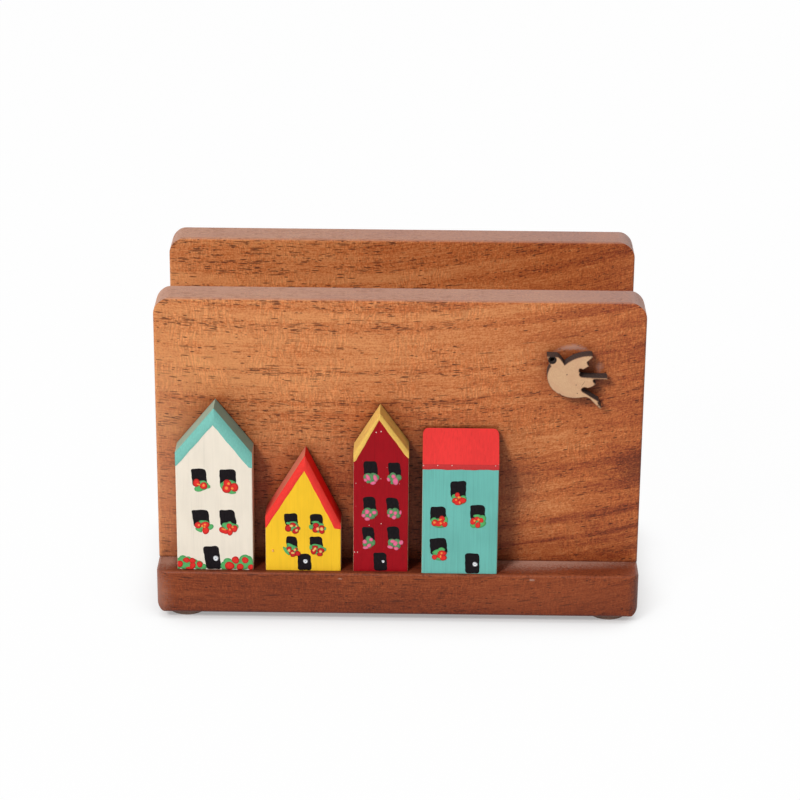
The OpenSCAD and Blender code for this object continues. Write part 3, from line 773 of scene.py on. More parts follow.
# %% Strokes on the teal house
STROKES["teal"] = {
    "panes": [
        ((17.0, 33.1), (22.3, 33.5), (22.1, 27.3), (17.2, 27.1)),
        ((10.6, 24.0), (15.5, 24.2), (16.0, 18.9), (10.6, 18.9)),
        ((23.7, 24.8), (28.5, 24.9), (28.6, 20.0), (23.7, 19.7)),
        ((10.4, 12.5), (15.9, 13.0), (16.5, 7.2), (10.9, 6.7)),
        ((22.2, 7.4), (27.0, 7.4), (27.1, 0.1), (22.4, 0.1)),
    ],
    "leaves": [
        (18.5, 27.8, 1.09, 0.87), (21.3, 27.2, 1.1, 1.1, -20), (20, 26.3, 2.47, 1.32),
        (11.8, 19.3, 1.09, 0.87), (15.7, 19.3, 0.75, 1.26), (13.5, 18.2, 2.62, 1.65),
        (26, 20.9, 1.3, 0.6), (27.7, 19.9, 1.3, 1.38), (26.7, 18.2, 2.26, 1.56),
        (24.8, 17.6, 1.05, 0.97), (12.9, 7.8, 1.5, 0.85, 15), (14.5, 8.7, 1.09, 0.74),
        (13.8, 6.2, 2.36, 1.44),
    ],
    "petals": [
        (19.4, 28.4, 0.88, 0.87), (18.8, 26.4, 1.17, 1), (21.1, 26.5, 1.25, 1.1),
        (19.7, 25.6, 1.25, 0.91), (12.2, 18.3, 1.13, 1.24), (13.4, 18, 1.05, 1.06),
        (14.5, 19.9, 0.96, 1.01), (14.1, 18.4, 0.96, 1.06), (15.4, 17.8, 0.96, 0.97),
        (24.7, 19, 1.01, 1.24), (26, 20, 0.88, 0.73), (27.3, 19.4, 0.88, 0.87), (26.3, 17.7, 0.88, 1.1),
        (12.2, 5.9, 0.89, 0.97), (14.7, 7.4, 1.52, 0.93), (13.9, 6.5, 0.97, 1.07),
        (15.1, 5.7, 1.1, 1.07),
    ],
    "dabs": [
        (20, 27.6, 0.63, 0.46), (19, 26.7, 0.38, 0.37), (20.2, 25.8, 0.31, 0.5), (12, 18.5, 0.5, 0.51),
        (13.9, 19.5, 0.63, 0.34, 25), (14.1, 18.2, 0.46, 0.46), (15.2, 18.6, 0.27, 0.28),
        (25.2, 19.3, 0.42, 0.46), (26.5, 19.7, 0.46, 0.46), (14.5, 7.4, 0.42, 0.42),
        (14.2, 6.2, 0.32, 0.6),
    ],
    "knob": [
        (25.6, 3.5, 0.97, 0.93),
    ],
    "specks": [
        (12.8, 38.8, 0.16, 0.16), (17.5, 38.8, 0.16, 0.16), (31.7, 38.9, 0.16, 0.16),
        (8.2, 38.7, 0.16, 0.16),
    ],
}
print("teal:", {kind: len(strokes) for kind, strokes in STROKES["teal"].items()})

# %% [markdown]
# Every added piece is a mesh made of points and faces, and several are rings of points with a skin
# between them. Three helpers do that work: one lays the skin, one closes it with a fan, and one
# turns the lists into a piece that rides on the holder.

# %% Building a mesh piece
def skin(faces, first, count, rings):
    """Faces between so many rings of count points each, where first is the first ring's first point"""
    for ring in range(rings):
        for i in range(count):
            a, b = first + ring * count + i, first + ring * count + (i + 1) % count
            faces.append((a, b, b + count, a + count))


def fan(faces, first, count, tip):
    """Faces from a ring of count points to the point numbered tip"""
    faces.extend((first + i, first + (i + 1) % count, tip) for i in range(count))


def piece(name, points, faces, material, smooth=True, mark=None, marks=()):
    """A mesh that rides on the body; marks give each point a value under the name mark"""
    mesh = bpy.data.meshes.new(name)
    mesh.from_pydata([Vector(p) * MM for p in points], [], faces)
    mesh.validate()
    solid = bmesh.new()
    solid.from_mesh(mesh)
    bmesh.ops.recalc_face_normals(solid, faces=solid.faces)
    solid.to_mesh(mesh)
    solid.free()
    mesh.materials.append(material)
    mesh.polygons.foreach_set("use_smooth", [smooth] * len(mesh.polygons))
    if mark:
        mesh.attributes.new(mark, "FLOAT", "POINT").data.foreach_set("value", marks)
    obj = bpy.data.objects.new(name, mesh)
    bpy.context.scene.collection.objects.link(obj)
    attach(obj, "root")
    return obj


# %% Outlines of a pane and of a dab
PANE_CORNERS = (0.9, 1.35, 1.1, 1.1)  # mm that the brush rounds off, clockwise from the top left
WAVER = 0.06                          # mm, how much a pane's sides wave
WOBBLE = (0.045, 0.035)               # shares of an ellipse's radius, two and three times round


def middle_of(loop):
    return sum(loop, Vector((0, 0))) / len(loop)


def pane(corners, steps=6):
    """Four nearly straight sides with round corners"""
    loop = []
    for i, radius in enumerate(PANE_CORNERS):
        before, corner, after = (Vector(corners[(i + k) % 4]) for k in (-1, 0, 1))
        start = corner + (before - corner).normalized() * radius
        end = corner + (after - corner).normalized() * radius
        stop = after + (corner - after).normalized() * PANE_CORNERS[(i + 1) % 4]
        for t in (k / steps for k in range(steps)):
            loop.append(start.lerp(corner, t).lerp(corner.lerp(end, t), t))
        loop += [end.lerp(stop, k / steps) for k in range(steps)]
    middle = middle_of(loop)
    return [p + (p - middle).normalized() * WAVER * math.sin(1.9 * p.x + 2.6 * p.y) for p in loop]


def ellipse(dice, x, z, half_w, half_h, turn=0, steps=22):
    """An ellipse with the slight wobble of a brush"""
    swing = math.radians(turn)
    phases = [dice.uniform(0, math.tau) for _ in WOBBLE]
    loop = []
    for i in range(steps):
        a = math.tau * i / steps
        r = 1 + WOBBLE[0] * math.sin(2 * a + phases[0]) + WOBBLE[1] * math.sin(3 * a + phases[1])
        u, v = half_w * r * math.cos(a), half_h * r * math.sin(a)
        loop.append(Vector((x + u * math.cos(swing) - v * math.sin(swing),
                            z + u * math.sin(swing) + v * math.cos(swing))))
    return loop


print("a pane's outline has", len(pane(STROKES["cream"]["panes"][0])), "points")

# %% One stroke of paint: outline, then rings up to the top
RIM = ((1.0, 0.0), (1.0, 0.6), (0.95, 0.88), (0.8, 0.98), (0.45, 1.0))  # share of width, share of height


def mound(points, faces, shares, loop, wall_y, thick, limits, rings=RIM):
    """Adds a stroke inside limits: left, right and bottom; shares are 1 at its rim and 0 in its middle"""
    left, right, bottom = limits
    middle = middle_of(loop)
    first = len(points)
    for share, height in rings:
        for p in loop:
            x, z = middle + (p - middle) * share
            points.append((min(max(x, left), right), wall_y - thick * height, LEDGE_Z + max(z, bottom)))
            shares.append(share)
    points.append((middle[0], wall_y - thick * rings[-1][1], LEDGE_Z + max(middle[1], bottom)))
    shares.append(0.0)
    skin(faces, first, len(loop), len(rings) - 1)
    fan(faces, first + (len(rings) - 1) * len(loop), len(loop), len(points) - 1)


# %% Paint colours of the strokes
def stroke_paint(name, colour, rough, rim=None, vary=0.06, gloss=0.15):
    """Undiluted acrylic: satin and thick, with faint brush marks, and another colour at its thin rim,
    partly the paint beneath and partly painted shade
    """
    material, tree = new_material(name)
    scaled = add(tree, "VectorMath", OVER, {0: in_mm(tree), 1: (0.5, 0.5, 1.1)})[0]
    marks = add(tree, "TexNoise", {}, {"Vector": scaled, "Scale": 1.0, "Detail": 2})[0]
    shade = add(tree, "MapRange", SOFT_STEP, {0: marks, 1: 0.25, 2: 0.75, 3: 1 - vary, 4: 1 + vary})[0]
    share = add(tree, "Attribute", {"attribute_name": "rim"})["Fac"]
    thin = add(tree, "MapRange", SOFT_STEP, {0: share, 1: 0.5, 2: 1.0})[0]
    tinted = add(tree, "Mix", BLEND, {0: thin, 6: colour, 7: rim or colour})[2]
    tinted = add(tree, "VectorMath", TIMES, {0: tinted, 1: shade})[0]
    bump = add(tree, "Bump", {}, {"Strength": 0.35, "Distance": 0.05 * MM, "Height": marks})[0]
    shader = add(tree, "BsdfPrincipled", {}, {"Base Color": tinted, "Roughness": rough, "IOR": 1.48,
                                              "Normal": bump, "Specular IOR Level": gloss})
    add(tree, "OutputMaterial", {}, {"Surface": shader[0]})
    return material


black = stroke_paint("black_acrylic", "#171215", 0.5, vary=0.35, gloss=0.09)
green = stroke_paint("leaf_green_acrylic", "#5CB56B", 0.5, "#4A9D5B")
dull_green = stroke_paint("moss_green_acrylic", "#5F9A63", 0.5, "#56855A")
red = stroke_paint("berry_red_acrylic", "#E8322C", 0.42, "#B5241F")
dark_red = stroke_paint("cherry_red_acrylic", "#CE2428", 0.42, "#8E1518")
pink = stroke_paint("rose_pink_acrylic", "#F0709A", 0.45, "#C8677C")
orange = stroke_paint("orange_acrylic", "#F79B49", 0.45, "#EE5C38")
straw = stroke_paint("straw_yellow_acrylic", "#F3C775", 0.45, "#DD7C4C")
pearl = stroke_paint("white_acrylic", "#F4F6F8", 0.35, "#C4C6CA", vary=0.02)
bone = stroke_paint("bone_white_acrylic", "#EBDDD2", 0.5, vary=0.05)
# Grey for the shade in the knobs' dimples: painted shade
shadow_grey = stroke_paint("dimple_shade_acrylic", "#AAB7C0", 0.4, vary=0.05)
print("stroke paints:", ", ".join(m.name for m in bpy.data.materials if m.name.endswith("_acrylic")))

# %% Paint the strokes
COLOURS = {  # panes, leaves, petals, dabs, knob, specks of dried dust
    "cream": (black, green, red, orange, pearl, bone),
    "yellow": (black, green, dark_red, straw, pearl, bone),
    "crimson": (black, dull_green, pink, dull_green, pearl, bone),
    "teal": (black, green, red, orange, pearl, bone),
}
THICK = {"panes": 0.07, "leaves": 0.12, "petals": 0.2, "dabs": 0.27, "knob": 0.5, "specks": 0.1}  # mm
BED = 0.01                            # mm, every stroke starts this deep in the wall
WALL_MARGIN, LEDGE_MARGIN = 0.12, 0.08  # mm that strokes keep from the block's corners and the ledge
DROP = ((1.0, 0.0), (0.98, 0.5), (0.82, 0.95), (0.58, 0.92), (0.3, 0.6))  # a drop dries with a dimple
DROP_SHARE = 0.86                     # a drop shrinks as it dries
DIMPLE_SHARE, DIMPLE_LIFT = 0.32, 0.03  # its grey middle, painted shade in the dimple: share of its width, and mm above its floor

for house, kinds in STROKES.items():
    low, high = edges(house + "_house")
    limits = (low[0] + WALL_MARGIN, high[0] - WALL_MARGIN, LEDGE_MARGIN)
    wall_y = low[1] + BED
    dice = random.Random(house)
    for (kind, strokes), paint in zip(kinds.items(), COLOURS[house]):
        points, faces, shares = [], [], []
        for stroke in strokes:
            if kind == "knob":
                x, z, half_w, half_h = stroke
                stroke = (x, z, half_w * DROP_SHARE, half_h * DROP_SHARE)
            loop = pane(stroke) if kind == "panes" else ellipse(dice, *stroke)
            rings = DROP if kind == "knob" else RIM
            mound(points, faces, shares, loop, wall_y, THICK[kind], limits, rings)
        piece(f"{house}_{kind}", points, faces, paint, mark="rim", marks=shares)
    # Each knob gets a grey disc in its dimple, as painted shade
    for x, z, half_w, half_h in kinds["knob"]:
        points, faces, shares = [], [], []
        loop = ellipse(dice, x, z, half_w * DIMPLE_SHARE, half_h * DIMPLE_SHARE)
        mound(points, faces, shares, loop, wall_y, THICK["knob"] * DROP[-1][1] + DIMPLE_LIFT, limits)
        piece(f"{house}_knob_dimple_shade", points, faces, shadow_grey)
    print(f"{house}: strokes painted on y = {low[1]:.1f} mm")

# %% [markdown]
# ## Coloured roof edges on the fronts
#
# On the three gabled fronts the roof colour comes down over the wall as a band with a hand-drawn
# lower edge, and the last house has a straight band under its sloping roof. Each band is a thin
# skin of paint between the roof's outline and a second, slightly wavering line. Both lines run from
# the block's left side to its right, which the frame gives. They are cut at the ridge, and points
# at equal shares of their lengths belong together.

# %% Lines of the bands
BANDS = {
    # house: (left eave, ridge, right eave), inner line between its two end heights, colour
    "cream": ((41.9, (-60.1, 57.6), 41.9),
              (37.0, [(-72.4, 37.4), (-60.5, 51.7), (-49.0, 36.8)], 36.5), "#7ABFB3"),
    "yellow": ((19.4, (-30.6, 41.3), 16.9),
               (15.3, [(-43.3, 15.6), (-30.8, 35.9), (-20.9, 15.4)], 15.1), "#EF3A32"),
    "crimson": ((42.4, (-6.1, 56.4), 43.2),
                (39.3, [(-13.9, 39.7), (-6.4, 54.1), (2.7, 41.2)], 40.6), "#EBBD5E"),
    "teal": ((39.2, (20.4, 39.2), 39.2),
             (37.4, [(20.4, 37.3)], 37.4), "#C63435"),
}


def across(house, left_z, points, right_z):
    """A line from the left side of a house over some points to its right side"""
    low, high = edges(house + "_house")
    return [(low[0], left_z), *points, (high[0], right_z)]


def length_of(line):
    return sum(math.dist(a, b) for a, b in zip(line, line[1:]))


def along(line, share):
    """The point at a share of the line's length"""
    left = share * length_of(line)
    for a, b in zip(line, line[1:]):
        if left <= math.dist(a, b):
            return Vector(a).lerp(Vector(b), left / math.dist(a, b))
        left -= math.dist(a, b)
    return Vector(line[-1])


def split(line):
    """The left and the right half of a line, cut at its highest or middle point"""
    peak = max(range(len(line)), key=lambda i: (line[i][1], -abs(i - len(line) // 2)))
    peak = peak if 0 < peak < len(line) - 1 else len(line) // 2
    return line[:peak + 1], line[peak:]


for house, (_, inner, _) in BANDS.items():
    print(f"{house}: inner line of {length_of(across(house, *inner)):.0f} mm")

# %% Bands of paint
BAND_STEPS = 36                       # on each side of the ridge
BAND_WAVES = ((0.09, 0.8), (0.04, 2.1))  # how far the hand sways, in mm, and radians a mm
BAND_FOOT, BAND_TOP = 0.03, 0.25      # mm below and above the edge, where it meets the wall and is flat
BAND_EDGE, BAND_THICK = 0.045, 0.06   # mm proud at the edge and there

for house, ((left_eave, ridge, right_eave), inner, colour) in BANDS.items():
    outer_halves = split(across(house, left_eave, [ridge], right_eave))
    inner_halves = split(across(house, *inner))
    wall_y = edges(house + "_house")[0][1] + BED
    dice = random.Random(house + "_band")
    phases = [dice.uniform(0, math.tau) for _ in BAND_WAVES]
    rows = []
    for side, (outer_half, inner_half) in enumerate(zip(outer_halves, inner_halves)):
        for i in range(side, BAND_STEPS + 1):
            o, n = along(outer_half, i / BAND_STEPS), along(inner_half, i / BAND_STEPS)
            run = length_of(inner_half) * (side + i / BAND_STEPS)
            down = (n - o).normalized()
            for (sway, rate), phase in zip(BAND_WAVES, phases):
                n = n + down * sway * math.sin(run * rate + phase)
            rows.append((o, n + down * BAND_FOOT, n, n - down * BAND_TOP))
    points, faces = [], []
    for o, foot, rim, top in rows:
        for p, lift in ((o, 0.0), (o, BAND_EDGE), (top, BAND_THICK), (rim, BAND_EDGE), (foot, 0.0)):
            points.append((p[0], wall_y - lift, LEDGE_Z + p[1]))
    for i in range(len(rows) - 1):
        for k in range(4):
            a = i * 5 + k
            faces.append((a, a + 5, a + 6, a + 1))
    paint = stroke_paint(house + "_band_acrylic", colour, 0.48)
    piece(house + "_roof_band", points, faces, paint)
    print(f"{house} band: {len(rows)} steps")

# %% [markdown]
# ## The bird
#
# The bird is 4.5 mm fibreboard cut with a laser, which leaves a pale brown face, charred dark
# walls and a thin scorched line where the beam entered. The CAD outline is used as it stands:
# its front face gives the loops of the outline and of the eye.

# %% Loops of the outline from the CAD face
def front_loops(node):
    """The loops round a node's flat front face, the widest first"""
    mesh = bmesh.new()
    mesh.from_mesh(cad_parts[node].data)
    bmesh.ops.remove_doubles(mesh, verts=mesh.verts, dist=1e-7)
    mesh.edges.index_update()
    front = min(v.co.y for v in mesh.verts)
    flat = {f for f in mesh.faces if all(abs(v.co.y - front) < 1e-6 for v in f.verts)}
    rim = {e for e in mesh.edges if sum(f in flat for f in e.link_faces) == 1}
    loops = []
    while rim:
        edge = min(rim, key=lambda e: e.index)
        rim.discard(edge)
        loop = [edge.verts[0], edge.verts[1]]
        while True:
            step = next((e for e in loop[-1].link_edges if e in rim), None)
            if step is None:
                break
            rim.discard(step)
            loop.append(step.other_vert(loop[-1]))
        if loop[0] is loop[-1]:
            loop.pop()
        loops.append([Vector((v.co.x, v.co.z)) / MM for v in loop])
    mesh.free()
    return sorted(loops, key=lambda loop: -max(p.x for p in loop) + min(p.x for p in loop))


bird_loops = front_loops("bird")
(_, BIRD_FRONT, _), (_, BIRD_BACK, _) = edges("bird")
print("bird loops:", [len(loop) for loop in bird_loops], f"front at {BIRD_FRONT:.1f} mm")


# %% Tools for an outline
def area(loop):
    """Positive for a loop that runs anticlockwise"""
    return sum(a.x * b.y - b.x * a.y for a, b in zip(loop, loop[1:] + loop[:1])) / 2


def refine(loop, step):
    """The same loop with points about a step apart"""
    fine = []
    for a, b in zip(loop, loop[1:] + loop[:1]):
        count = max(1, round((b - a).length / step))
        fine += [a + (b - a) * k / count for k in range(count)]
    return fine


def inset(loop, by):
    """Moves an anticlockwise loop inwards, and a clockwise one outwards"""
    moved = []
    for i, p in enumerate(loop):
        before, after = (p - loop[i - 1]).normalized(), (loop[(i + 1) % len(loop)] - p).normalized()
        side = Vector((-(before + after).y, (before + after).x))
        moved.append(p + side.normalized() * by if side.length > 0.2 else p)
    return moved


def gap(p, loop):
    """How far a point is from a loop"""
    best = 1e9
    for a, b in zip(loop, loop[1:] + loop[:1]):
        t = min(max((p - a).dot(b - a) / max((b - a).length_squared, 1e-9), 0), 1)
        best = min(best, (p - (a + (b - a) * t)).length)
    return best


print(f"the bird's face measures {abs(area(bird_loops[0])):.0f} square mm")

# %% The cut, its melted lip and the scorch round it
LIP = 0.10                          # mm, the cut's upper edge melts back by this much
BURN_REACH = 1.0                    # mm, over which the scorch fades
EYE_REACH = 0.54                    # mm, the beam stays longer round the small eye and burns it wider
OUTLINE_STEP, EYE_STEP = 0.35, 0.2  # mm from point to point

loops = []
for number, loop in enumerate(bird_loops):
    if (area(loop) > 0) != (number == 0):  # outline runs anticlockwise, holes clockwise
        loop = loop[::-1]
    loops.append(refine(loop, OUTLINE_STEP if number == 0 else EYE_STEP))
rims = [inset(loop, LIP) for loop in loops]


def scorch(p):
    """1 at a cut, 0 where the board is clean, and up to 2 close round the eye"""
    at_edge = 1 - gap(p, rims[0]) / BURN_REACH
    at_eye = 2 - gap(p, rims[1]) / EYE_REACH
    return max(0.0, at_edge, at_eye)


points, faces, burn = [], [], []
for loop, rim in zip(loops, rims):
    first = len(points)
    middle_y = (BIRD_BACK + BIRD_FRONT) / 2
    rings = ((loop, BIRD_BACK), (loop, middle_y), (loop, BIRD_FRONT + LIP), (rim, BIRD_FRONT))
    for line, y in rings:
        points += [(p.x, y, p.y) for p in line]
        burn += [scorch(p) for p in rim]
    skin(faces, first, len(loop), len(rings) - 1)
print(f"walls of the cut: {len(faces)} faces")

# %% [markdown]
# The two faces are filled with small triangles, so that each point can carry how far it is from the
# cut. A grid of points inside the rims is triangulated together with the rims, whose edges are
# kept. That also fills the eye, so those triangles are left out again.

# %% The faces of the bird
FACE_STEP, FACE_MARGIN = 0.36, 0.2  # mm from point to point, and from the rims

inside = [p for rim in rims for p in rim]
rim_edges, start = [], 0
for rim in rims:
    rim_edges += [(start + i, start + (i + 1) % len(rim)) for i in range(len(rim))]
    start += len(rim)
low_x, high_x = min(p.x for p in rims[0]), max(p.x for p in rims[0])
low_z, high_z = min(p.y for p in rims[0]), max(p.y for p in rims[0])
for row in range(int((high_z - low_z) / FACE_STEP)):
    for column in range(int((high_x - low_x) / FACE_STEP)):
        p = Vector((low_x + (column + 0.5 * (row % 2)) * FACE_STEP, low_z + row * FACE_STEP))
        if min(gap(p, rim) for rim in rims) > FACE_MARGIN:
            inside.append(p)
outline = list(range(len(rims[0])))
spots, _, triangles = geometry.delaunay_2d_cdt(inside, rim_edges, [outline], 1, 1e-5)[:3]
eye = middle_of(rims[1])
eye_r = (rims[1][0] - eye).length
for plane, turned_over in ((BIRD_FRONT, False), (BIRD_BACK, True)):
    first = len(points)
    points += [(p.x, plane, p.y) for p in spots]
    burn += [scorch(p) for p in spots]
    for triangle in triangles:
        if (middle_of([spots[i] for i in triangle]) - eye).length > eye_r * 0.98:
            faces.append([first + i for i in (triangle[::-1] if turned_over else triangle)])
print(f"bird: {len(points)} points, {len(faces)} faces, eye of {2 * eye_r:.1f} mm")

# %% [markdown]
# Medium-density fibreboard is wood fluff pressed with resin: matt, even and slightly blotchy. Near
# the cut the heat turns it brown, then black, in a line as uneven as the fluff. The walls are char
# over the board's layers. The material reads the points' distance from the cut as burn.

# %% Laser-cut fibreboard
SPECKS = [  # scorched specks on the face: x and z from the eye, half length, half width, turn
    (4.88, -5.03, .26, .22, 0), (7.97, -8.59, .20, .18, 0), (8.43, -11.52, .22, .20, 0),
    (10.2, -8.2, 1.2, .07, 58), (2.85, -11.83, .45, .18, -35),
]


def burnt_fibreboard():
    material, tree = new_material("laser_cut_fibreboard")
    place = in_mm(tree)
    burn_level = add(tree, "Attribute", {"attribute_name": "burn"})["Fac"]
    facing = add(tree, "SeparateXYZ", {}, {0: add(tree, "TexCoord")["Normal"]})
    noise = {}
    for layer, size, detail in (
            ("fluff", (.35, .35, .35), 3), ("cloud", (5, 5, 4), 2), ("layers", (.45, .6, .45), 2)):
        scaled = add(tree, "VectorMath", OVER, {0: place, 1: size})[0]
        noise[layer] = add(tree, "TexNoise", {}, {"Vector": scaled, "Scale": 1.0, "Detail": detail})[0]
    board = add(tree, "Mix", BLEND, {0: noise["fluff"], 6: "#C99A77", 7: "#E3BD92"})[2]
    blotch = add(tree, "MapRange", SOFT_STEP, {0: noise["cloud"], 1: .4, 2: .7, 3: 0.0, 4: .6})[0]
    board = add(tree, "Mix", BLEND, {0: blotch, 6: board, 7: "#CF9E7C"})[2]
    uneven = add(tree, "Math", TIMES_PLUS, {0: noise["fluff"], 1: 0.35, 2: burn_level})[0]
    halo = add(tree, "MapRange", SOFT_STEP, {0: uneven, 1: 0.92, 2: 1.25, 3: 0.0, 4: 0.8})[0]
    face = add(tree, "Mix", BLEND, {0: halo, 6: board, 7: "#6E4B38"})[2]
    soot = add(tree, "MapRange", SOFT_STEP, {0: uneven, 1: 1.22, 2: 1.5})[0]
    face = add(tree, "Mix", BLEND, {0: soot, 6: face, 7: "#1B1210"})[2]
    for x, z, half_l, half_w, turn in SPECKS:
        away = add(tree, "Mapping", {"vector_type": "TEXTURE"}, {
            "Vector": place, "Location": (eye.x + x, BIRD_FRONT, eye.y + z),
            "Rotation": (0, math.radians(-turn), 0), "Scale": (half_l, 1, half_w)})[0]
        far = add(tree, "VectorMath", {"operation": "LENGTH"}, {0: away})["Value"]
        dot = add(tree, "MapRange", SOFT_STEP, {0: far, 1: 1.3, 2: 0.6, 3: 0.0, 4: 0.8})[0]
        face = add(tree, "Mix", BLEND, {0: dot, 6: face, 7: "#6B4636"})[2]
    char = add(tree, "Mix", BLEND, {0: noise["layers"], 6: "#2A211F", 7: "#5C4B45"})[2]
    on_face = add(tree, "MapRange", SOFT_STEP, {0: facing[1], 1: -0.3, 2: -0.6})[0]
    colour = add(tree, "Mix", BLEND, {0: on_face, 6: char, 7: face})[2]
    bump = add(tree, "Bump", {}, {"Strength": 0.3, "Distance": 0.05 * MM, "Height": noise["fluff"]})[0]
    shader = add(tree, "BsdfPrincipled", {}, {"Base Color": colour, "Roughness": 0.8, "IOR": 1.5,
                                              "Normal": bump, "Specular IOR Level": 0.25})
    add(tree, "OutputMaterial", {}, {"Surface": shader[0]})
    return material


fibreboard = burnt_fibreboard()
bird = piece("laser_cut_bird", points, faces, fibreboard,
             smooth=False, mark="burn", marks=burn)
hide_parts("bird")
print(f"{bird.name} of {fibreboard.name}")

# %% [markdown]
# ## Rubber pads
#
# Four brown rubber pads sit under the board. They are pressed in a plain mould, so they are matt
# and slightly grainy, and they gather pale dust. The CAD form is right, so they only get a finish.

# %% Moulded rubber
def moulded_rubber():
    material, tree = new_material("moulded_brown_rubber")
    place = in_mm(tree)
    noise = {}
    for layer, size, detail in (("grain", (.3, .3, .3), 3), ("dust", (4, 4, 1.5), 2)):
        scaled = add(tree, "VectorMath", OVER, {0: place, 1: size})[0]
        noise[layer] = add(tree, "TexNoise", {}, {"Vector": scaled, "Scale": 1.0, "Detail": detail})[0]
    colour = add(tree, "Mix", BLEND, {0: noise["grain"], 6: "#7E6152", 7: "#967767"})[2]
    dusty = add(tree, "MapRange", SOFT_STEP, {0: noise["dust"], 1: 0.5, 2: 0.75, 3: 0.0, 4: 0.5})[0]
    colour = add(tree, "Mix", BLEND, {0: dusty, 6: colour, 7: "#AC9184"})[2]
    bump = add(tree, "Bump", {}, {"Strength": 0.3, "Distance": 0.05 * MM, "Height": noise["grain"]})[0]
    shader = add(tree, "BsdfPrincipled", {}, {"Base Color": colour, "Roughness": 0.7, "IOR": 1.52,
                                              "Normal": bump})
    add(tree, "OutputMaterial", {}, {"Surface": shader[0]})
    return material


rubber = moulded_rubber()
feet = [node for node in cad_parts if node.startswith("foot_")]
for node in feet:
    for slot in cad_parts[node].material_slots:
        slot.material = rubber
print("rubber on", ", ".join(sorted(feet)))

# %% [markdown]
# ## Steel screws
#
# Four countersunk screws hold the panels. They show only from below, but the part is looked at from
# there too. A screw is turned: a profile spun round its axis, with a radius that follows a helix
# for the thread. The cross recess is cut into the flat head. The steel is zinc-plated, which grows
# in fine crystals and gives the metal a cloudy shine.

# %% Zinc-plated steel
def zinc_steel():
    material, tree = new_material("zinc_plated_steel")
    scaled = add(tree, "VectorMath", OVER, {0: in_mm(tree), 1: (.6, .6, .6)})[0]
    crystals = add(tree, "TexNoise", {}, {"Vector": scaled, "Scale": 1.0, "Detail": 2})[0]
    colour = add(tree, "Mix", BLEND, {0: crystals, 6: "#AEB1B4", 7: "#C6C9CB"})[2]
    roughness = add(tree, "MapRange", SOFT_STEP, {0: crystals, 1: 0.3, 2: 0.7, 3: 0.28, 4: 0.42})[0]
    shader = add(tree, "BsdfPrincipled", {}, {"Base Color": colour, "Metallic": 1.0,
                                              "Roughness": roughness})
    add(tree, "OutputMaterial", {}, {"Surface": shader[0]})
    return material


steel = zinc_steel()
print("screws of", steel.name)

# %% The turned part of a screw
SCREW_LENGTH, SHANK_R, CORE_R, HEAD_R = 35.0, 1.75, 1.2, 3.5
HEAD_H, TIP_H, PITCH, PLAIN = 1.9, 5.0, 1.5, 12.0  # heights of head and tip, thread, where it starts
NECK_R, PLAIN_R = SHANK_R - 0.05, SHANK_R - 0.25   # under the head, and up to the thread
THREAD_FLAT = 0.35                                 # share of the pitch without a ridge
SPOKES, TURN_RINGS = 24, 8                         # points round the axis, rings in one turn
SCREWS_LOW, SCREWS_HIGH = edges("panel_screws")
SCREW_BOTTOM = SCREWS_LOW[2]


def screw_radius(up, turn):
    """Radius at a height above the head's face and an angle in turns"""
    if up < HEAD_H:
        return HEAD_R + (NECK_R - HEAD_R) * up / HEAD_H
    if up < PLAIN:
        return PLAIN_R
    taper = min(1.0, max(0.0, (SCREW_LENGTH - up) / TIP_H))
    ridge = 1 - abs(((up / PITCH - turn) % 1) - 0.5) * 2
    return (CORE_R + (SHANK_R - CORE_R) * max(0.0, ridge - THREAD_FLAT) / (1 - THREAD_FLAT)) * taper


def add_shank(points, faces, x, y):
    """Head cone, plain shank, thread and tip"""
    heights = [HEAD_H * k / 3 for k in range(4)] + [PLAIN]
    thread_rings = int((SCREW_LENGTH - PLAIN) / PITCH * TURN_RINGS)
    heights += [PLAIN + PITCH / TURN_RINGS * k for k in range(1, thread_rings)]
    first = len(points)
    for up in heights:
        for turn in (k / SPOKES for k in range(SPOKES)):
            r, angle = screw_radius(up, turn), math.tau * turn
            points.append((x + r * math.cos(angle), y + r * math.sin(angle), SCREW_BOTTOM + up))
    points.append((x, y, SCREW_BOTTOM + SCREW_LENGTH))
    skin(faces, first, SPOKES, len(heights) - 1)
    fan(faces, first + (len(heights) - 1) * SPOKES, SPOKES, len(points) - 1)


print(f"thread of {PITCH} mm over {SCREW_LENGTH - PLAIN:.0f} mm")

# %% The face of its head, with the cross recess
CROSS_MOUTH, CROSS_FLOOR = (1.9, 0.42), (1.1, 0.3)  # mm from the axis to a wing's end and to its side
CROSS_DEPTH = 1.4


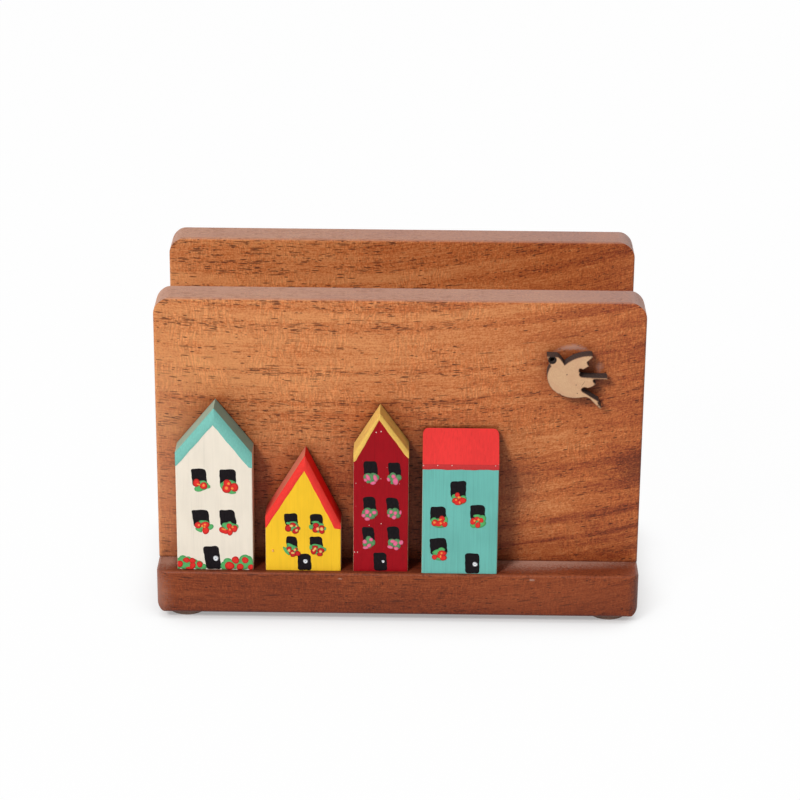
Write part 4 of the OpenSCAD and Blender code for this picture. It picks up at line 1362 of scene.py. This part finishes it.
def cross_outline(half, wing):
    corners = []
    for quarter in range(4):
        a = math.pi / 2 * quarter
        for u, v in ((half, -wing), (half, wing), (wing, wing)):
            corners.append(Vector((u * math.cos(a) - v * math.sin(a), u * math.sin(a) + v * math.cos(a))))
    return corners


def add_face(points, faces, x, y):
    """A flat ring round the cross, then the recess's walls and floor"""
    mouth, floor_cross = cross_outline(*CROSS_MOUTH), cross_outline(*CROSS_FLOOR)
    corners = len(mouth)
    rim = [Vector((HEAD_R * math.cos(a), HEAD_R * math.sin(a)))
           for a in (math.tau * k / SPOKES for k in range(SPOKES))]
    lines = [(k, (k + 1) % SPOKES) for k in range(SPOKES)]
    lines += [(SPOKES + k, SPOKES + (k + 1) % corners) for k in range(corners)]
    spots, _, triangles = geometry.delaunay_2d_cdt(rim + mouth, lines, [], 0, 1e-5)[:3]
    start = len(points)
    points += [(x + p.x, y + p.y, SCREW_BOTTOM) for p in spots]
    half, wing = CROSS_MOUTH
    for triangle in triangles:
        c = middle_of([spots[i] for i in triangle])
        in_cross = abs(c.x) < wing and abs(c.y) < half or abs(c.y) < wing and abs(c.x) < half
        if not in_cross:
            faces.append([start + i for i in triangle])
    start = len(points)
    for line, deep in ((mouth, 0.0), (floor_cross, CROSS_DEPTH)):
        points += [(x + p.x, y + p.y, SCREW_BOTTOM + deep) for p in line]
    skin(faces, start, corners, 1)
    faces.append(list(range(start + corners, start + 2 * corners)))


print(f"cross recess of {2 * CROSS_MOUTH[0]} mm, {CROSS_DEPTH} mm deep")

# %% Turn the four screws
SCREW_X = SCREWS_HIGH[0] - HEAD_R
SCREW_ROWS = (SCREWS_LOW[1] + HEAD_R, SCREWS_HIGH[1] - HEAD_R)

points, faces = [], []
for side in (-1, 1):
    for row_y in SCREW_ROWS:
        add_shank(points, faces, side * SCREW_X, row_y)
        add_face(points, faces, side * SCREW_X, row_y)
screws = piece("countersunk_screws", points, faces, steel, smooth=False)
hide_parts("panel_screws")
print(f"screws: {len(points)} points, {SCREW_X:.0f} mm to each side, in rows at y =",
      " and ".join(f"{row:.1f} mm" for row in SCREW_ROWS))
